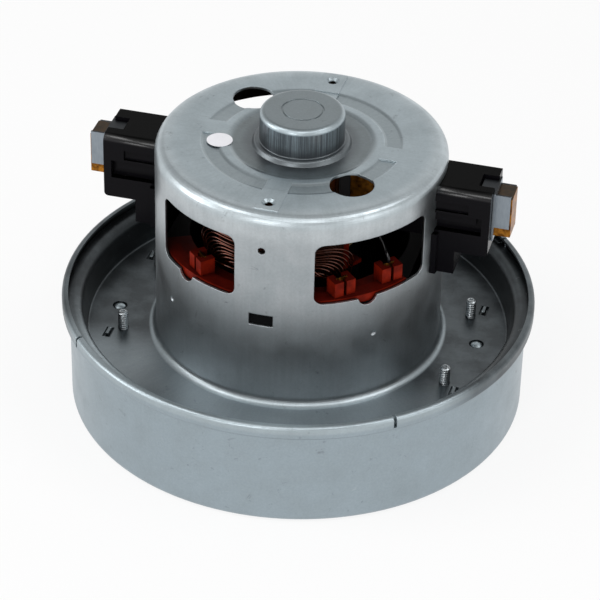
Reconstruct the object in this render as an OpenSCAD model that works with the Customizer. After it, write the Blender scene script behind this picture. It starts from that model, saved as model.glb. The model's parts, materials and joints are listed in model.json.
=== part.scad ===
// Vacuum motor unit: universal motor, brush gear, impeller and fan cover.
// Millimetres, +Z up the shaft, X along the brushes.
// The origin is on the shaft axis at the underside of the fan cover.

/* [Fan cover] */
// Outer diameter of the can wall
cover_d = 130.6; // [128:0.2:134]
// Sheet thickness of the cover
cover_sheet = 0.8; // [0.6:0.1:0.9]
// Height of the seat that carries the flange ledge
seat_z = 30.2; // [29.6:0.2:32]
// Height of the rolled lip above that seat
lip_h = 3.45; // [3:0.05:4]
// How far the rolled lip stands out past the can wall
lip_out = 2.2; // [2:0.1:2.6]
// Bore of the air inlet
inlet_d = 36; // [32:1:37]
// Height of the inlet collar
collar_h = 6.5; // [5:0.5:7]
// Bend radius where the can's floor meets its wall
cover_bend = 1.6; // [1:0.2:3]
// Width of the slits in the rolled lip
lip_slit = 0.9; // [0.5:0.1:1.5]

/* [Motor case] */
// Outer diameter of the case wall
case_d = 81.4; // [80.6:0.2:83]
// Sheet thickness of the case
case_sheet = 0.8; // [0.6:0.1:1]
// Height of the top plate
plate_z = 82.4; // [82:0.2:84]
// Height of the bearing boss above the top plate
boss_rise = 9.7; // [9.4:0.1:11]
// Bend radius of the top plate's edge
case_bend = 2.8; // [1.6:0.2:4]
// Height of the trough floor round the case
trough_z = 21.5; // [21:0.5:23]
// Bend radius where the case wall meets the trough floor
foot_bend = 2.7; // [2:0.1:3.6]
// Outer radius of the trough floor
trough_r = 60.7; // [60:0.1:61.2]
// Depth of the ring groove in the top plate
groove_depth = 0.4; // [0.3:0.1:0.6]
// Inner radius of the ring groove
groove_in = 22.6; // [22.2:0.2:23.4]
// Outer radius of the ring groove
groove_out = 28.2; // [27:0.2:29]
// Diameter of the two large holes in the top plate
grip_hole_d = 12.2; // [9:0.2:13]
// Diameter of the two pilot holes in the top plate
pilot_d = 2.2; // [1.8:0.1:2.6]
// Distance between the two pilot holes
pilot_pitch = 67.6; // [66:0.2:69]

/* [Windows] */
// Height of the windows' lower edge
window_z = 55; // [54:0.25:57]
// Height of the windows
window_h = 18.9; // [16:0.1:20.5]
// Width of the wide windows
wide_window = 34.7; // [30:0.1:36]
// Width of the narrow windows
narrow_window = 27.9; // [24:0.1:29]
// Corner radius of the windows
window_r = 2.5; // [1.5:0.1:4]
// Radius of the round lobe in each window's lower edge
lobe_r = 2.9; // [2:0.1:3.5]

/* [Brush gear] */
// Height of the brush axis
brush_z = 70; // [69.6:0.2:71]
// Width of a carbon brush
brush_w = 6.4; // [5.6:0.2:7]
// Height of a carbon brush
brush_h = 11.2; // [10:0.2:12]
// Length of a carbon brush
brush_len = 28; // [24:0.5:30]
// Free play between a brush and its tube on each side
brush_play = 0.1; // [0.08:0.02:0.2]
// Wall of the brush tube
tube_wall = 0.4; // [0.3:0.1:0.6]
// Distance of the brush tube's outer end from the axis
tube_end = 60.4; // [59:0.1:61]
// Distance of the holder's outer face from the axis
holder_end = 55.2; // [54:0.2:56]
// Width of the brush holder
holder_w = 15.9; // [14.8:0.1:17]
// Height of the holder's top face
holder_top = 78.7; // [78.4:0.1:79.6]
// Height of the holder's underside
holder_low = 59.2; // [58:0.2:61]
// Wire of the brush spring
spring_wire = 0.6; // [0.4:0.1:0.7]
// Curls of the brush spring
spring_curls = 9; // [7:1:10]
// Sheet of the tinned terminal
terminal_sheet = 0.6; // [0.4:0.1:0.8]

/* [Rotor] */
// Diameter of the shaft
shaft_d = 8; // [7.6:0.1:8.2]
// Diameter of the armature
armature_d = 34.8; // [33:0.2:36]
// Length of the armature core
armature_len = 20; // [18:0.5:20.5]
// Height where the armature core starts
armature_z = 34; // [34:0.2:35]
// Air gap between armature and poles
air_gap = 0.6; // [0.4:0.1:1]
// Slots of the armature
armature_slots = 12; // [10:1:14]
// Diameter of the commutator
commutator_d = 24; // [22.6:0.2:25]
// Bars of the commutator
commutator_bars = 24; // [20:2:28]
// Diameter of the impeller
impeller_d = 100; // [92:1:102]
// Height of the impeller's back plate above the floor
impeller_z = 13; // [12.8:0.1:13.2]
// Blades of the impeller
impeller_blades_n = 9; // [7:1:11]

/* [Bearings] */
// Outer diameter of the ball bearings
bearing_d = 22; // [21.6:0.1:22.4]
// Width of the ball bearings
bearing_w = 7; // [6.8:0.1:7.2]
// Balls in a bearing
balls = 7; // [6:1:7]
// Diameter of a ball
ball_d = 3.97; // [3.6:0.01:4]

/* [Stator] */
// Length of the stator core
stator_len = 22; // [20:0.5:22]
// Radial depth of the yoke
yoke_w = 8.9; // [8:0.1:9.5]
// Width of the pole necks
neck_w = 20; // [16:0.5:20]
// Loops in the outer layer of a field coil
coil_loops = 8; // [5:1:8]
// Wire of the field coils
coil_wire = 0.5; // [0.4:0.02:0.52]
// Step from loop to loop in the slots and below the core
loop_step = 0.95; // [0.95:0.01:1]
// Step from loop to loop above the core
top_step = 1.2; // [1.1:0.05:1.3]

/* [Diffuser] */
// Sheet of the bearing bracket
bracket_sheet = 0.8; // [0.6:0.1:1]
// Thickness of the diffuser disc
diffuser_t = 2.5; // [2.2:0.1:2.8]
// Return vanes on top of the diffuser
return_vanes = 9; // [7:1:11]
// Vanes round the impeller
outer_vanes = 15; // [11:1:18]
// Thread diameter of the four screws
screw_d = 3; // [2.6:0.1:3.2]
// How far the screw tips stand above the trough
screw_rise = 5.6; // [5:0.2:8]

/* [Hidden] */
$fn = 96;
// Clearance of parts pressed or slid together
fit = 0.02;
// Clearance where flat faces nearly touch
face_gap = 0.05;
// Overlap of cutters past the faces that they cut
past = 1;
// Angle between the points of a bend in folded sheet
bend_step = 11.25;

// Cover and flange
cover_r = cover_d / 2;
cover_mid = cover_r - cover_sheet / 2;
lip_mid = cover_mid + lip_out;
lip_bend = cover_sheet / 2 + 0.3;
ledge_z = seat_z + case_sheet;
lip_top_mid = seat_z + lip_h - cover_sheet / 2;
ledge_r = lip_mid - cover_sheet / 2 - 0.4;
ledge_bend = 2.4;
inlet_mid = inlet_d / 2 + cover_sheet / 2;
lip_slit_angles = [-51, 37.8, 129, 217.8];
lip_hem = 1.4;
stake_turn = 2;
stake_w = 2.6;
stake_reach = 2.3;

// Motor case
case_r = case_d / 2;
case_in = case_r - case_sheet;
case_mid = case_r - case_sheet / 2;
plate_mid = plate_z - case_sheet / 2;
boss_top = plate_z + boss_rise;
boss_in = bearing_d / 2 + fit;
boss_mid = boss_in + case_sheet / 2;
boss_r = boss_in + case_sheet;
boss_bend = case_sheet / 2 + 0.7;
boss_ledge = 0.9;
dish_depth = 0.5;
dish_out = groove_in - 1.9;
wall_slope = 1.3;
flange_under = trough_z - case_sheet;
window_angles = [45.5, 225.5];
narrow_angles = [-30.9, 149.1];
lobe_wide = -2.5;
lobe_narrow = -3;
grip_ring = 26.5;
grip_angle = 45.6;
pilot_dimple = 1.2;
strip_w = 7;
strip_rise = 0.25;
bridge_w = 6.8;
sight_hole_r = 1.05;
sight_hole_z = window_z + 16.3;
key_slot_w = 6.8;
key_slot_h = 3.6;
key_slot_z = window_z - 7.9;
stake_z = 42.6;
stake_r = 1.2;
stake_depth = 0.35;
boss_groove_in = 5.4;
boss_groove_out = 6;
boss_groove_depth = 0.25;

// Brush gear: inner sizes of the tube follow the brush, outer sizes follow the tube
tube_in_w = brush_w + 2 * brush_play;
tube_in_h = brush_h + 2 * brush_play;
tube_w = tube_in_w + 2 * tube_wall;
tube_h = tube_in_h + 2 * tube_wall;
tube_start = commutator_d / 2 + 3;
brush_gap = 0.1;
brush_tail = commutator_d / 2 + brush_gap + brush_len;
nose_wall = 2;
nose_w = tube_w + 2 * nose_wall;
nose_h = tube_h + 2 * nose_wall;
nose_start = tube_start + 7;
nose_play = 0.15;
holder_leg_x = 46;
holder_leg_z = 52;
holder_skirt = 1.45;
holder_skirt_w = 19;
holder_corner = 1.2;
notch_w = 6.2;
notch_len = 4.4;
notch_d = 1.6;
spring_r = 2;
pigtail_d = 1.2;

// Bearings and the stack along the shaft
shaft_r = shaft_d / 2;
sleeve_r = shaft_r + 1.6;
pitch_r = (bearing_d / 2 + shaft_r) / 2;
race_half = 1.4;
ball_play = 0.08;
bracket_under = flange_under - bracket_sheet;
lower_z = bracket_under + 0.9;
lower_top = lower_z + bearing_w;
upper_top = boss_top - case_sheet - 1.4;
upper_z = upper_top - bearing_w;
end_disc = 1;
rotor_slot_in = 4.4;
rotor_slot_r = 1.8;
winding_in = shaft_r + 3;
winding_r = armature_d / 2 - 1.2;
armature_top = armature_z + armature_len;
overhang_low = lower_top + 2;
overhang_top = brush_z - 9;
commutator_low = brush_z - 7;
commutator_top = brush_z + 8;
commutator_r = commutator_d / 2;
bar_in = commutator_r - 2.75;
hub_top = commutator_top + 0.5;
riser_gap = 0.4;
riser_h = brush_z - brush_h / 2 - riser_gap - commutator_low;
riser_r = commutator_r + 1.5;
back_sheet = 1;
front_sheet = 0.8;
blade_sheet = 0.8;
blade_bow = 30;
back_top = impeller_z + back_sheet;
washer_t = 1.5;
nut_h = 4.7;
nut_flats = 13;
shaft_low = impeller_z - washer_t - nut_h - 1.5;
shaft_top = upper_top + 0.4;

// Impeller front plate: eye lip, then a cone that closes in on the back plate
impeller_r = impeller_d / 2;
eye_mid = inlet_d / 2 + cover_sheet + 0.8 + front_sheet / 2;
eye_low = 2.6;
cone_in = 4.2;
cone_out = 6.4;

// Stator
stator_r = case_in - fit;
stator_flat = stator_r - 4.9;
stator_z = armature_z - 3;
stator_top = stator_z + stator_len;
yoke_in = stator_r - yoke_w;
bore_r = armature_d / 2 + air_gap;
shoe_r = bore_r + 4.5;
shoe_half = 62;
slot_liner = 1.2;
fence_half = 50;
upper_fence_h = 12;
lower_fence_h = 8;
liner_play = 0.4;
shoe_cover = 0.8;
rim_w = 4.5;
rim_h = 1.2;
rim_left = -56;
rim_right = 62;
insulator_half = 64;
coil_in = shoe_r + 1.4;
coil_mid = coil_in + 2.3;
coil_r = coil_mid + 0.55 + coil_wire / 2;
coil_face = coil_r + 4.85;
coil_start = neck_w / 2 + 2.7;
coil_half = (coil_start + coil_loops * loop_step) / coil_r * 180 / PI;
coil_inner = (coil_start - 0.2) / coil_r * 180 / PI;
coil_top0 = stator_top + 4.5;
coil_low0 = stator_z - 1.8;
coil_top = coil_top0 + coil_loops * top_step + 0.6;
coil_low = coil_low0 - (coil_loops - 0.5) * loop_step;
top_corner = 5;
low_corner = 2.5;
fork_z = stator_top + slot_liner;
fork_w = 6.4;
fork_deep = 4.4;
fork_front = 37.4;
fork_mid = fork_front - fork_deep / 2;
fork_h = 5.7;
fork_slot = coil_wire + 0.4;
fork_hollow = 2.4;
fork_lip = 1.2;
fork_side = 7.45;
blade_t = 0.5;
blade_w = 3.4;
blade_rise = 0.3;
blade_z = stator_top + slot_liner + rim_h;
// Terminal forks of one half: turn of the front face and place along it
forks = [[-45, fork_side], [45, -fork_side], [45, fork_side]];
lead_r = coil_face + coil_wire / 2 + 1;
wire_sides = 6;

// Diffuser and screws
diffuser_top = bracket_under;
diffuser_z = bracket_under - 5;
diffuser_r = cover_r - cover_sheet - 3;
screw_r = screw_d / 2;
screw_ring = 50.2;
screw_angles = [-20, 20, 160, 200];
screw_head_r = screw_r + 1.4;
screw_head_h = 1.8;
screw_head_z = diffuser_z + 0.2;
cross_len = 3.2;
cross_w = 0.6;
slot_x = 50.5;
slot_y = 20.7;
flange_slot_w = 2.2;
flange_slot_len = 4.8;
tab_t = 0.9;
tab_len = 3;
tab_rise = 0.6;
bracket_edge = 6;
dowel_ring = 52;
dowel_r = 1.7;
dowel_play = 0.4;
dowel_rise = 1.1;
dome_r = 2.6;
dowel_angles = [4.1, 187.7];
return_vane_in = 26;
return_vane_out = 57;
return_vane_t = 1.4;
return_vane_bow = 34;
outer_vane_gap = 2.5;
outer_vane_lean = 62;
outer_vane_t = 1.2;
bracket_arms = 6;
bracket_hole_in = 16;
bracket_hole_out = 38;
bracket_hole_half = 22;

// Small vector helpers
function unit(v) = v / norm(v);
function left_of(v) = [-v[1], v[0]];
function at(q) = [q[0], q[1]];
function polar(r, a, z) = [r * sin(a), -r * cos(a), z];
function smooth(u) = let (c = min(1, max(0, u))) c * c * (3 - 2 * c);

// Folded sheet: a path of [radius, height, bend radius] along the middle of the sheet
function run_dir(p, i) = unit(at(p[i + 1]) - at(p[i]));
function fold(p, i) = let (a = run_dir(p, i - 1), b = run_dir(p, i))
    atan2(a[0] * b[1] - a[1] * b[0], a * b);
function turned(v, a) = [v[0] * cos(a) - v[1] * sin(a), v[0] * sin(a) + v[1] * cos(a)];
function bend_centre(p, i) = let (d = run_dir(p, i - 1), f = fold(p, i), r = p[i][2])
    at(p[i]) - d * r * tan(abs(f) / 2) + left_of(d) * sign(f) * r;
function bend_arc(p, i, off) = let (f = fold(p, i), n = ceil(abs(f) / bend_step),
    r = p[i][2] - sign(f) * off, start = -sign(f) * left_of(run_dir(p, i - 1)))
    [for (j = [0 : n]) bend_centre(p, i) + r * turned(start, f * j / n)];
function sheet_side(p, off) = let (n = len(p) - 1)
    [at(p[0]) + off * left_of(run_dir(p, 0)),
    for (i = [1 : n - 1]) each bend_arc(p, i, off),
    at(p[n]) + off * left_of(run_dir(p, n - 1))];
function backwards(v) = [for (i = [len(v) - 1 : -1 : 0]) v[i]];

module sheet_shell(p, t) {
    rotate_extrude() polygon(concat(sheet_side(p, t / 2), backwards(sheet_side(p, -t / 2))));
}

// Plain ring about the axis
module ring(r_in, r_out, z, h) {
    translate([0, 0, z]) difference() {
        cylinder(r = r_out, h = h);
        translate([0, 0, -past]) cylinder(r = r_in, h = h + 2 * past);
    }
}

// Wedge of the plane between two angles from -Y towards +X
module wedge(a0, a1, r) {
    mid = (a0 + a1) / 2;
    polygon([[0, 0], at(polar(r, a0, 0)), at(polar(1.6 * r, mid, 0)), at(polar(r, a1, 0))]);
}

// Sector of a ring about the axis
module sector(r_in, r_out, a0, a1, z, h) {
    translate([0, 0, z]) linear_extrude(h) intersection() {
        difference() {
            circle(r_out);
            circle(r_in);
        }
        wedge(a0, a1, 2 * r_out);
    }
}

// Cutter that goes through the case wall at an angle from -Y
module wall_cutter(angle) {
    rotate([0, 0, angle]) translate([0, -case_in + 6, 0]) rotate([90, 0, 0]) linear_extrude(12) children();
}

module round_square(w, z, h, r) {
    translate([-w / 2 + r, z]) square([w - 2 * r, h]);
    translate([-w / 2, z + r]) square([w, h - 2 * r]);
    for (x = [-1, 1], y = [r, h - r]) translate([x * (w / 2 - r), z + y]) circle(r);
}

module window_cutter(angle, w, lobe_x) {
    wall_cutter(angle) {
        round_square(w, window_z, window_h, window_r);
        translate([lobe_x, window_z + 0.6]) circle(lobe_r);
    }
}

// Tube swept along a list of points, as one closed surface of triangles
function path_dir(p, i) = let (n = len(p) - 1) unit(p[min(n, i + 1)] - p[max(0, i - 1)]);
function across(d, u) = unit(u - d * (u * d));
function tube_ring(c, d, u, r, n) = let (a = across(d, u), b = cross(d, a))
    [for (j = [0 : n - 1]) c + r * (a * cos(360 * j / n) + b * sin(360 * j / n))];
function quad(a, b, c, d) = [[a, b, c], [a, c, d]];

module wire(p, up, r, n) {
    last = len(p) - 1;
    rings = [for (i = [0 : last]) each tube_ring(p[i], path_dir(p, i), up[i], r, n)];
    walls = [for (i = [0 : last - 1], j = [0 : n - 1]) let (k = (j + 1) % n)
        each quad(n * i + j, n * i + n + j, n * i + n + k, n * i + k)];
    first_cap = [for (j = [1 : n - 2]) [0, j, j + 1]];
    last_cap = [for (j = [1 : n - 2]) [n * last, n * last + j + 1, n * last + j]];
    polyhedron(rings, concat(walls, first_cap, last_cap));
}

// Motor case
module motor_case_sheet() {
    groove_mid = plate_mid - groove_depth;
    step = 0.9;
    sheet_shell([
        [0, boss_top - case_sheet / 2],
        [boss_mid, boss_top - case_sheet / 2, boss_bend],
        [boss_mid, plate_mid + boss_ledge, 0.6],
        [boss_mid + 1.5, plate_mid + boss_ledge, 0.6],
        [boss_mid + 2.2, plate_mid - dish_depth, 0.6],
        [dish_out - 1.2, plate_mid - dish_depth, 1.5],
        [dish_out, plate_mid, 1.5],
        [groove_in, plate_mid, 0.8],
        [groove_in + step, groove_mid, 0.8],
        [groove_out - step, groove_mid, 0.8],
        [groove_out, plate_mid, 0.8],
        [case_mid, plate_mid, case_bend],
        [case_mid, trough_z - case_sheet / 2, foot_bend],
        [trough_r, trough_z - case_sheet / 2, 0.9],
        [trough_r + wall_slope, seat_z + case_sheet / 2, ledge_bend],
        [ledge_r, seat_z + case_sheet / 2]
    ], case_sheet);
}

module groove_bridges() {
    for (a = [0, 90, 180, 270]) rotate([0, 0, a]) {
        translate([groove_in, -bridge_w / 2, plate_z - groove_depth])
            cube([groove_out - groove_in, bridge_w, groove_depth]);
    }
}

module pilot_strips() {
    strip_start = groove_out - 1;
    strip_len = case_mid - case_bend - strip_start;
    for (a = [0, 180]) rotate([0, 0, a]) translate([-strip_w / 2, strip_start, plate_mid])
        cube([strip_w, strip_len, case_sheet / 2 + strip_rise]);
}

module top_plate_holes() {
    pilot_r = pilot_d / 2;
    low = plate_z - 3;
    for (s = [-1, 1]) {
        translate(polar(s * grip_ring, grip_angle, low)) cylinder(r = grip_hole_d / 2, h = 6);
        translate([0, s * pilot_pitch / 2, 0]) {
            translate([0, 0, low]) cylinder(r = pilot_r, h = 6);
            translate([0, 0, plate_z - 0.4]) cylinder(r1 = pilot_r, r2 = pilot_r + pilot_dimple, h = 0.9);
        }
    }
}

module wall_holes() {
    for (a = [0, 180]) {
        wall_cutter(a) translate([0, sight_hole_z]) circle(sight_hole_r);
        wall_cutter(a) translate([-key_slot_w / 2, key_slot_z]) square([key_slot_w, key_slot_h]);
        wall_cutter(a + 90) translate([-nose_w / 2 - nose_play, brush_z - nose_h / 2 - nose_play])
            square([nose_w + 2 * nose_play, nose_h + 2 * nose_play]);
    }
    for (a = window_angles) window_cutter(a, wide_window, lobe_wide);
    for (a = narrow_angles) window_cutter(a, narrow_window, lobe_narrow);
    for (a = [45, 135, 225, 315]) translate(polar(case_r + stake_r - stake_depth, a, stake_z))
        sphere(stake_r);
}

module at_slots() {
    for (x = [-slot_x, slot_x], y = [-slot_y, slot_y]) translate([x, y, 0]) children();
}

module flange_holes() {
    for (a = screw_angles) rotate([0, 0, a]) {
        translate([screw_ring, 0, bracket_under]) cylinder(r = screw_r + face_gap, h = 6);
    }
    at_slots() translate([-flange_slot_w / 2, -flange_slot_len / 2, flange_under - past])
        cube([flange_slot_w, flange_slot_len, case_sheet + 3 * past]);
    for (a = dowel_angles) rotate([0, 0, a])
        translate([dowel_ring, 0, flange_under - past]) cylinder(r = dowel_r + dowel_play, h = 4);
}

module motor_case() {
    color("#b9bdbd") difference() {
        union() {
            motor_case_sheet();
            groove_bridges();
            pilot_strips();
        }
        top_plate_holes();
        wall_holes();
        flange_holes();
        ring(boss_groove_in, boss_groove_out, boss_top - boss_groove_depth, past);
    }
}

// Fan cover: inlet collar, floor, wall, seat for the flange, rolled lip and the stakes that hold the flange
module fan_cover() {
    color("#b5babb") difference() {
        union() {
            sheet_shell([
                [inlet_mid, collar_h],
                [inlet_mid, cover_sheet / 2, cover_bend],
                [cover_mid, cover_sheet / 2, cover_bend],
                [cover_mid, seat_z - cover_sheet / 2, lip_bend],
                [lip_mid, seat_z - cover_sheet / 2, lip_bend],
                [lip_mid, lip_top_mid, lip_bend],
                [lip_mid - lip_hem, lip_top_mid]
            ], cover_sheet);
            for (a = lip_slit_angles) rotate([0, 0, a + stake_turn])
                translate([-stake_w / 2, -lip_mid, ledge_z + face_gap])
                    cube([stake_w, stake_reach, cover_sheet]);
        }
        for (a = lip_slit_angles) rotate([0, 0, a])
            translate([-lip_slit / 2, -cover_r - lip_out - past, seat_z + 0.2])
                cube([lip_slit, lip_out + cover_sheet + past, 4]);
    }
}

// Bearing bracket under the trough: cup for the lower bearing, domed dowels and tabs in the flange's slots
module dowel() {
    top = bracket_sheet + dowel_rise;
    intersection() {
        cylinder(r = dowel_r, h = top);
        translate([0, 0, top - dome_r]) sphere(dome_r);
    }
}

module bearing_bracket() {
    cup_mid = boss_in + bracket_sheet / 2;
    roof_mid = lower_top + face_gap + bracket_sheet / 2;
    bend = bracket_sheet / 2 + 0.5;
    pitch = 360 / bracket_arms;
    half = bracket_hole_half;
    color("#a9adae") difference() {
        union() {
            sheet_shell([
                [shaft_r + 3.4, roof_mid],
                [cup_mid, roof_mid, bend],
                [cup_mid, bracket_under + bracket_sheet / 2, bend],
                [screw_ring + bracket_edge, bracket_under + bracket_sheet / 2]
            ], bracket_sheet);
            for (a = dowel_angles) rotate([0, 0, a])
                translate([dowel_ring, 0, bracket_under]) dowel();
            at_slots() translate([-tab_t / 2, -tab_len / 2, bracket_under])
                cube([tab_t, tab_len, trough_z + tab_rise - bracket_under]);
        }
        for (i = [0 : bracket_arms - 1]) rotate([0, 0, i * pitch])
            sector(bracket_hole_in, bracket_hole_out, -half, half, bracket_under - past, 4);
        for (a = screw_angles) rotate([0, 0, a])
            translate([screw_ring, 0, bracket_under - past]) cylinder(r = screw_r + face_gap, h = 4);
    }
}

// Curved vane from one radius to another, as a strip of a circle's arc in plan
module vane_plan(r_in, r_out, t, bow) {
    away = bow;
    arc_r = bow * 0.83;
    intersection() {
        translate([away, 0]) difference() {
            circle(arc_r + t / 2);
            circle(arc_r - t / 2);
        }
        difference() {
            circle(r_out);
            circle(r_in);
        }
        square([3 * r_out, 3 * r_out]);
    }
}

module diffuser() {
    return_h = diffuser_top - diffuser_z - diffuser_t;
    outer_low = cover_sheet + 0.5;
    boss_wall = 1.1;
    root = 0.5;
    color("#d8d8d2") difference() {
        union() {
            ring(boss_r + 1.6, diffuser_r, diffuser_z, diffuser_t);
            translate([0, 0, diffuser_z + diffuser_t - root]) linear_extrude(return_h + root)
                for (i = [0 : return_vanes - 1]) rotate(i * 360 / return_vanes)
                    vane_plan(return_vane_in, return_vane_out, return_vane_t, return_vane_bow);
            translate([0, 0, outer_low]) linear_extrude(diffuser_z - outer_low + root)
                for (i = [0 : outer_vanes - 1]) rotate(i * 360 / outer_vanes)
                    translate([impeller_r + outer_vane_gap, 0]) rotate(outer_vane_lean)
                        square([diffuser_r - impeller_r + 3, outer_vane_t]);
            for (a = screw_angles) rotate([0, 0, a]) translate([screw_ring, 0, diffuser_z])
                cylinder(r = screw_head_r + boss_wall, h = diffuser_top - diffuser_z);
        }
        ring(diffuser_r, cover_r, -past, seat_z);
        for (a = screw_angles) rotate([0, 0, a]) translate([screw_ring, 0, diffuser_z]) {
            translate([0, 0, -past]) cylinder(r = screw_r + 0.2, h = 9);
            translate([0, 0, -past]) cylinder(r = screw_head_r + 0.2, h = screw_head_h + 0.2 + past);
        }
    }
}

module diffuser_screws() {
    tip = 0.5;
    tip_in = 0.45;
    top = trough_z + screw_rise;
    neck_z = screw_head_z + screw_head_h;
    color("#8d9091") for (a = screw_angles) rotate([0, 0, a]) translate([screw_ring, 0, 0]) {
        difference() {
            translate([0, 0, screw_head_z]) cylinder(r = screw_head_r, h = screw_head_h);
            for (turn = [0, 90]) rotate([0, 0, turn])
                translate([-cross_len / 2, -cross_w / 2, screw_head_z - past])
                    cube([cross_len, cross_w, past + screw_head_h / 2]);
        }
        translate([0, 0, neck_z]) cylinder(r = screw_r, h = top - tip - neck_z);
        translate([0, 0, top - tip]) cylinder(r1 = screw_r, r2 = screw_r - tip_in, h = tip);
    }
}

// Stator lamination: yoke with two flats, pole necks on Y and pole shoes round the bore
module stator_plan(r_out, r_shoe) {
    difference() {
        union() {
            difference() {
                intersection() {
                    circle(r_out);
                    square([2 * stator_flat, 2 * r_out], center = true);
                }
                circle(yoke_in);
            }
            square([neck_w, 2 * yoke_in + 1], center = true);
            for (a = [0, 180]) intersection() {
                circle(r_shoe);
                wedge(a - shoe_half, a + shoe_half, 2 * r_shoe);
            }
        }
        circle(bore_r);
    }
}

module stator_core() {
    color("#5c5f63") translate([0, 0, stator_z]) linear_extrude(stator_len)
        stator_plan(stator_r, shoe_r);
}

// Wall between coil and rotor on a stator insulator
module coil_fences(z, h) {
    fence = 1;
    r = shoe_r - 0.2;
    for (a = [0, 180]) sector(r, r + fence, a - fence_half, a + fence_half, z, h);
}

module terminal_fork() {
    fork_low = fork_z - 0.5;
    base_h = 1.2;
    pocket_w = blade_w + 2 * face_gap;
    pocket_t = blade_t + 2 * face_gap;
    translate([-fork_w / 2, -fork_front, fork_low]) difference() {
        cube([fork_w, fork_deep, fork_z + fork_h - fork_low]);
        translate([(fork_w - fork_slot) / 2, -past, base_h]) cube([fork_slot, fork_lip + 2 * past, fork_h]);
        translate([(fork_w - fork_hollow) / 2, fork_lip, base_h]) cube([fork_hollow, fork_deep, fork_h]);
        translate([(fork_w - pocket_w) / 2, (fork_deep - pocket_t) / 2, blade_z - fork_low])
            cube([pocket_w, pocket_t, fork_h]);
    }
}

// Carry a part to each fork, on both halves of the stator
module at_forks() {
    for (half = [0, 180], f = forks) rotate([0, 0, f[0] + half]) translate([f[1], 0, 0]) children();
}

module upper_insulator() {
    rim_out = stator_r - liner_play;
    side = 2 * stator_r;
    color("#8e2416") {
        translate([0, 0, stator_top]) linear_extrude(slot_liner)
            for (half = [0, 180]) intersection() {
                stator_plan(rim_out, shoe_r + shoe_cover);
                wedge(half - insulator_half, half + insulator_half, side);
            }
        coil_fences(stator_top, upper_fence_h);
        for (half = [0, 180]) intersection() {
            rotate([0, 0, half])
                sector(stator_r - rim_w, rim_out, rim_left, rim_right, stator_top, slot_liner + rim_h);
            translate([-stator_flat, -stator_r, stator_z]) cube([2 * stator_flat, side, side]);
        }
        at_forks() terminal_fork();
    }
}

module lower_insulator() {
    color("#8e2416") {
        translate([0, 0, stator_z - slot_liner]) linear_extrude(slot_liner)
            stator_plan(stator_r - liner_play, shoe_r + shoe_cover);
        coil_fences(stator_z - lower_fence_h, lower_fence_h);
    }
}

// Field coil: a saddle-shaped core of packed turns and its outer layer of loops
module coil_core_at(half) {
    block_half = coil_inner - 6;
    block_out = coil_face - 2;
    head_z = stator_top + 2;
    head_h = coil_top - head_z;
    leg_h = coil_top - coil_low;
    color("#7d4322") rotate([0, 0, half]) {
        sector(coil_in, coil_mid, -coil_half, coil_half, coil_low, coil_low0 - coil_low + 0.2);
        sector(coil_in, coil_mid, -coil_half, coil_half, head_z, head_h);
        for (a = [-coil_half, coil_inner])
            sector(coil_in, coil_mid, a, a + coil_half - coil_inner, coil_low, leg_h);
        sector(coil_mid - 0.2, block_out, -block_half, block_half, head_z, head_h);
    }
}
module front_coil_core() { coil_core_at(0); }
module rear_coil_core() { coil_core_at(180); }

// A loop has 24 stations of [distance along the slot arc, height], from its top round to the right
function loop_half(s, t, b) = [
    [0, t],
    for (a = [0, 30, 60, 90]) [s - top_corner * (1 - sin(a)), t - top_corner * (1 - cos(a))],
    [s, stator_top + 0.6],
    [s, (stator_top + stator_z) / 2],
    for (a = [0, 30, 60, 90]) [s - low_corner * (1 - cos(a)), b + low_corner * (1 - sin(a))],
    [(s - low_corner) / 2, b],
    [0, b]];
function loop_at(k) = loop_half(
    coil_start + loop_step * k, coil_top0 + top_step * k, coil_low0 - loop_step * k);
function station(j, k) = let (back = j > 12, q = loop_at(k)[back ? 24 - j : j]) [back ? -q[0] : q[0], q[1]];
function coil_radius(z) = coil_r + (coil_face - coil_r) * smooth((z - stator_top - 1.4) / 4);
function on_coil(q) = polar(coil_radius(q[1]), q[0] / coil_r * 180 / PI, q[1]);
function coil_up(p) = [p[0], p[1], 0];
function at_fork(i, out, z) = let (a = forks[i][0], s = forks[i][1])
    [out * sin(a) + s * cos(a), s * sin(a) - out * cos(a), z];
blade_face = fork_mid - blade_t / 2 - face_gap;
wire_z = fork_z + 3;
fork_mouth = fork_front - fork_deep - 0.3;
lead_in = [
    at_fork(0, blade_face, wire_z),
    at_fork(0, fork_mouth, wire_z),
    polar(lead_r, -28, wire_z + 0.4),
    polar(lead_r, -22, coil_top0 + 0.3),
    polar(lead_r, -15, coil_top0 + 0.3),
    polar(coil_face + 0.7, -8, coil_top0 + 0.1)];
lead_out = [
    polar(coil_face + 0.7, 8, coil_top - 0.8),
    polar(lead_r, 15, coil_top - 2.5),
    polar(lead_r, 22, coil_top - 7.2),
    polar(lead_r, 28, wire_z + 0.8),
    at_fork(1, fork_mouth, wire_z),
    at_fork(1, blade_face, wire_z)];
loops = [for (i = [0 : 24 * coil_loops]) on_coil(station(i % 24, i / 24))];
coil_path = concat(lead_in, loops, lead_out);
coil_ups = [for (p = coil_path) [0, 0, 1] * 0.2 + unit(coil_up(p))];

// Least gap of a wire to itself, on points spread evenly along its straight pieces
function dense(p, n) = [for (i = [0 : len(p) - 2], j = [0 : n - 1]) p[i] + (p[i + 1] - p[i]) * j / n];
function gap_from(p, i, skip) = min([for (j = [i + skip : len(p) - 1]) norm(p[i] - p[j])]);
function self_gap(p, skip, d) = min([for (i = [0 : len(p) - skip - 1]) gap_from(p, i, skip)]) - d;
echo(coil_self_gap = self_gap(dense(coil_path, 4), 40, coil_wire));

module coil_wire_at(half) {
    color("#b5662e") rotate([0, 0, half]) wire(coil_path, coil_ups, coil_wire / 2, wire_sides);
}
module front_coil_wire() { coil_wire_at(0); }
module rear_coil_wire() { coil_wire_at(180); }

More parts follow.
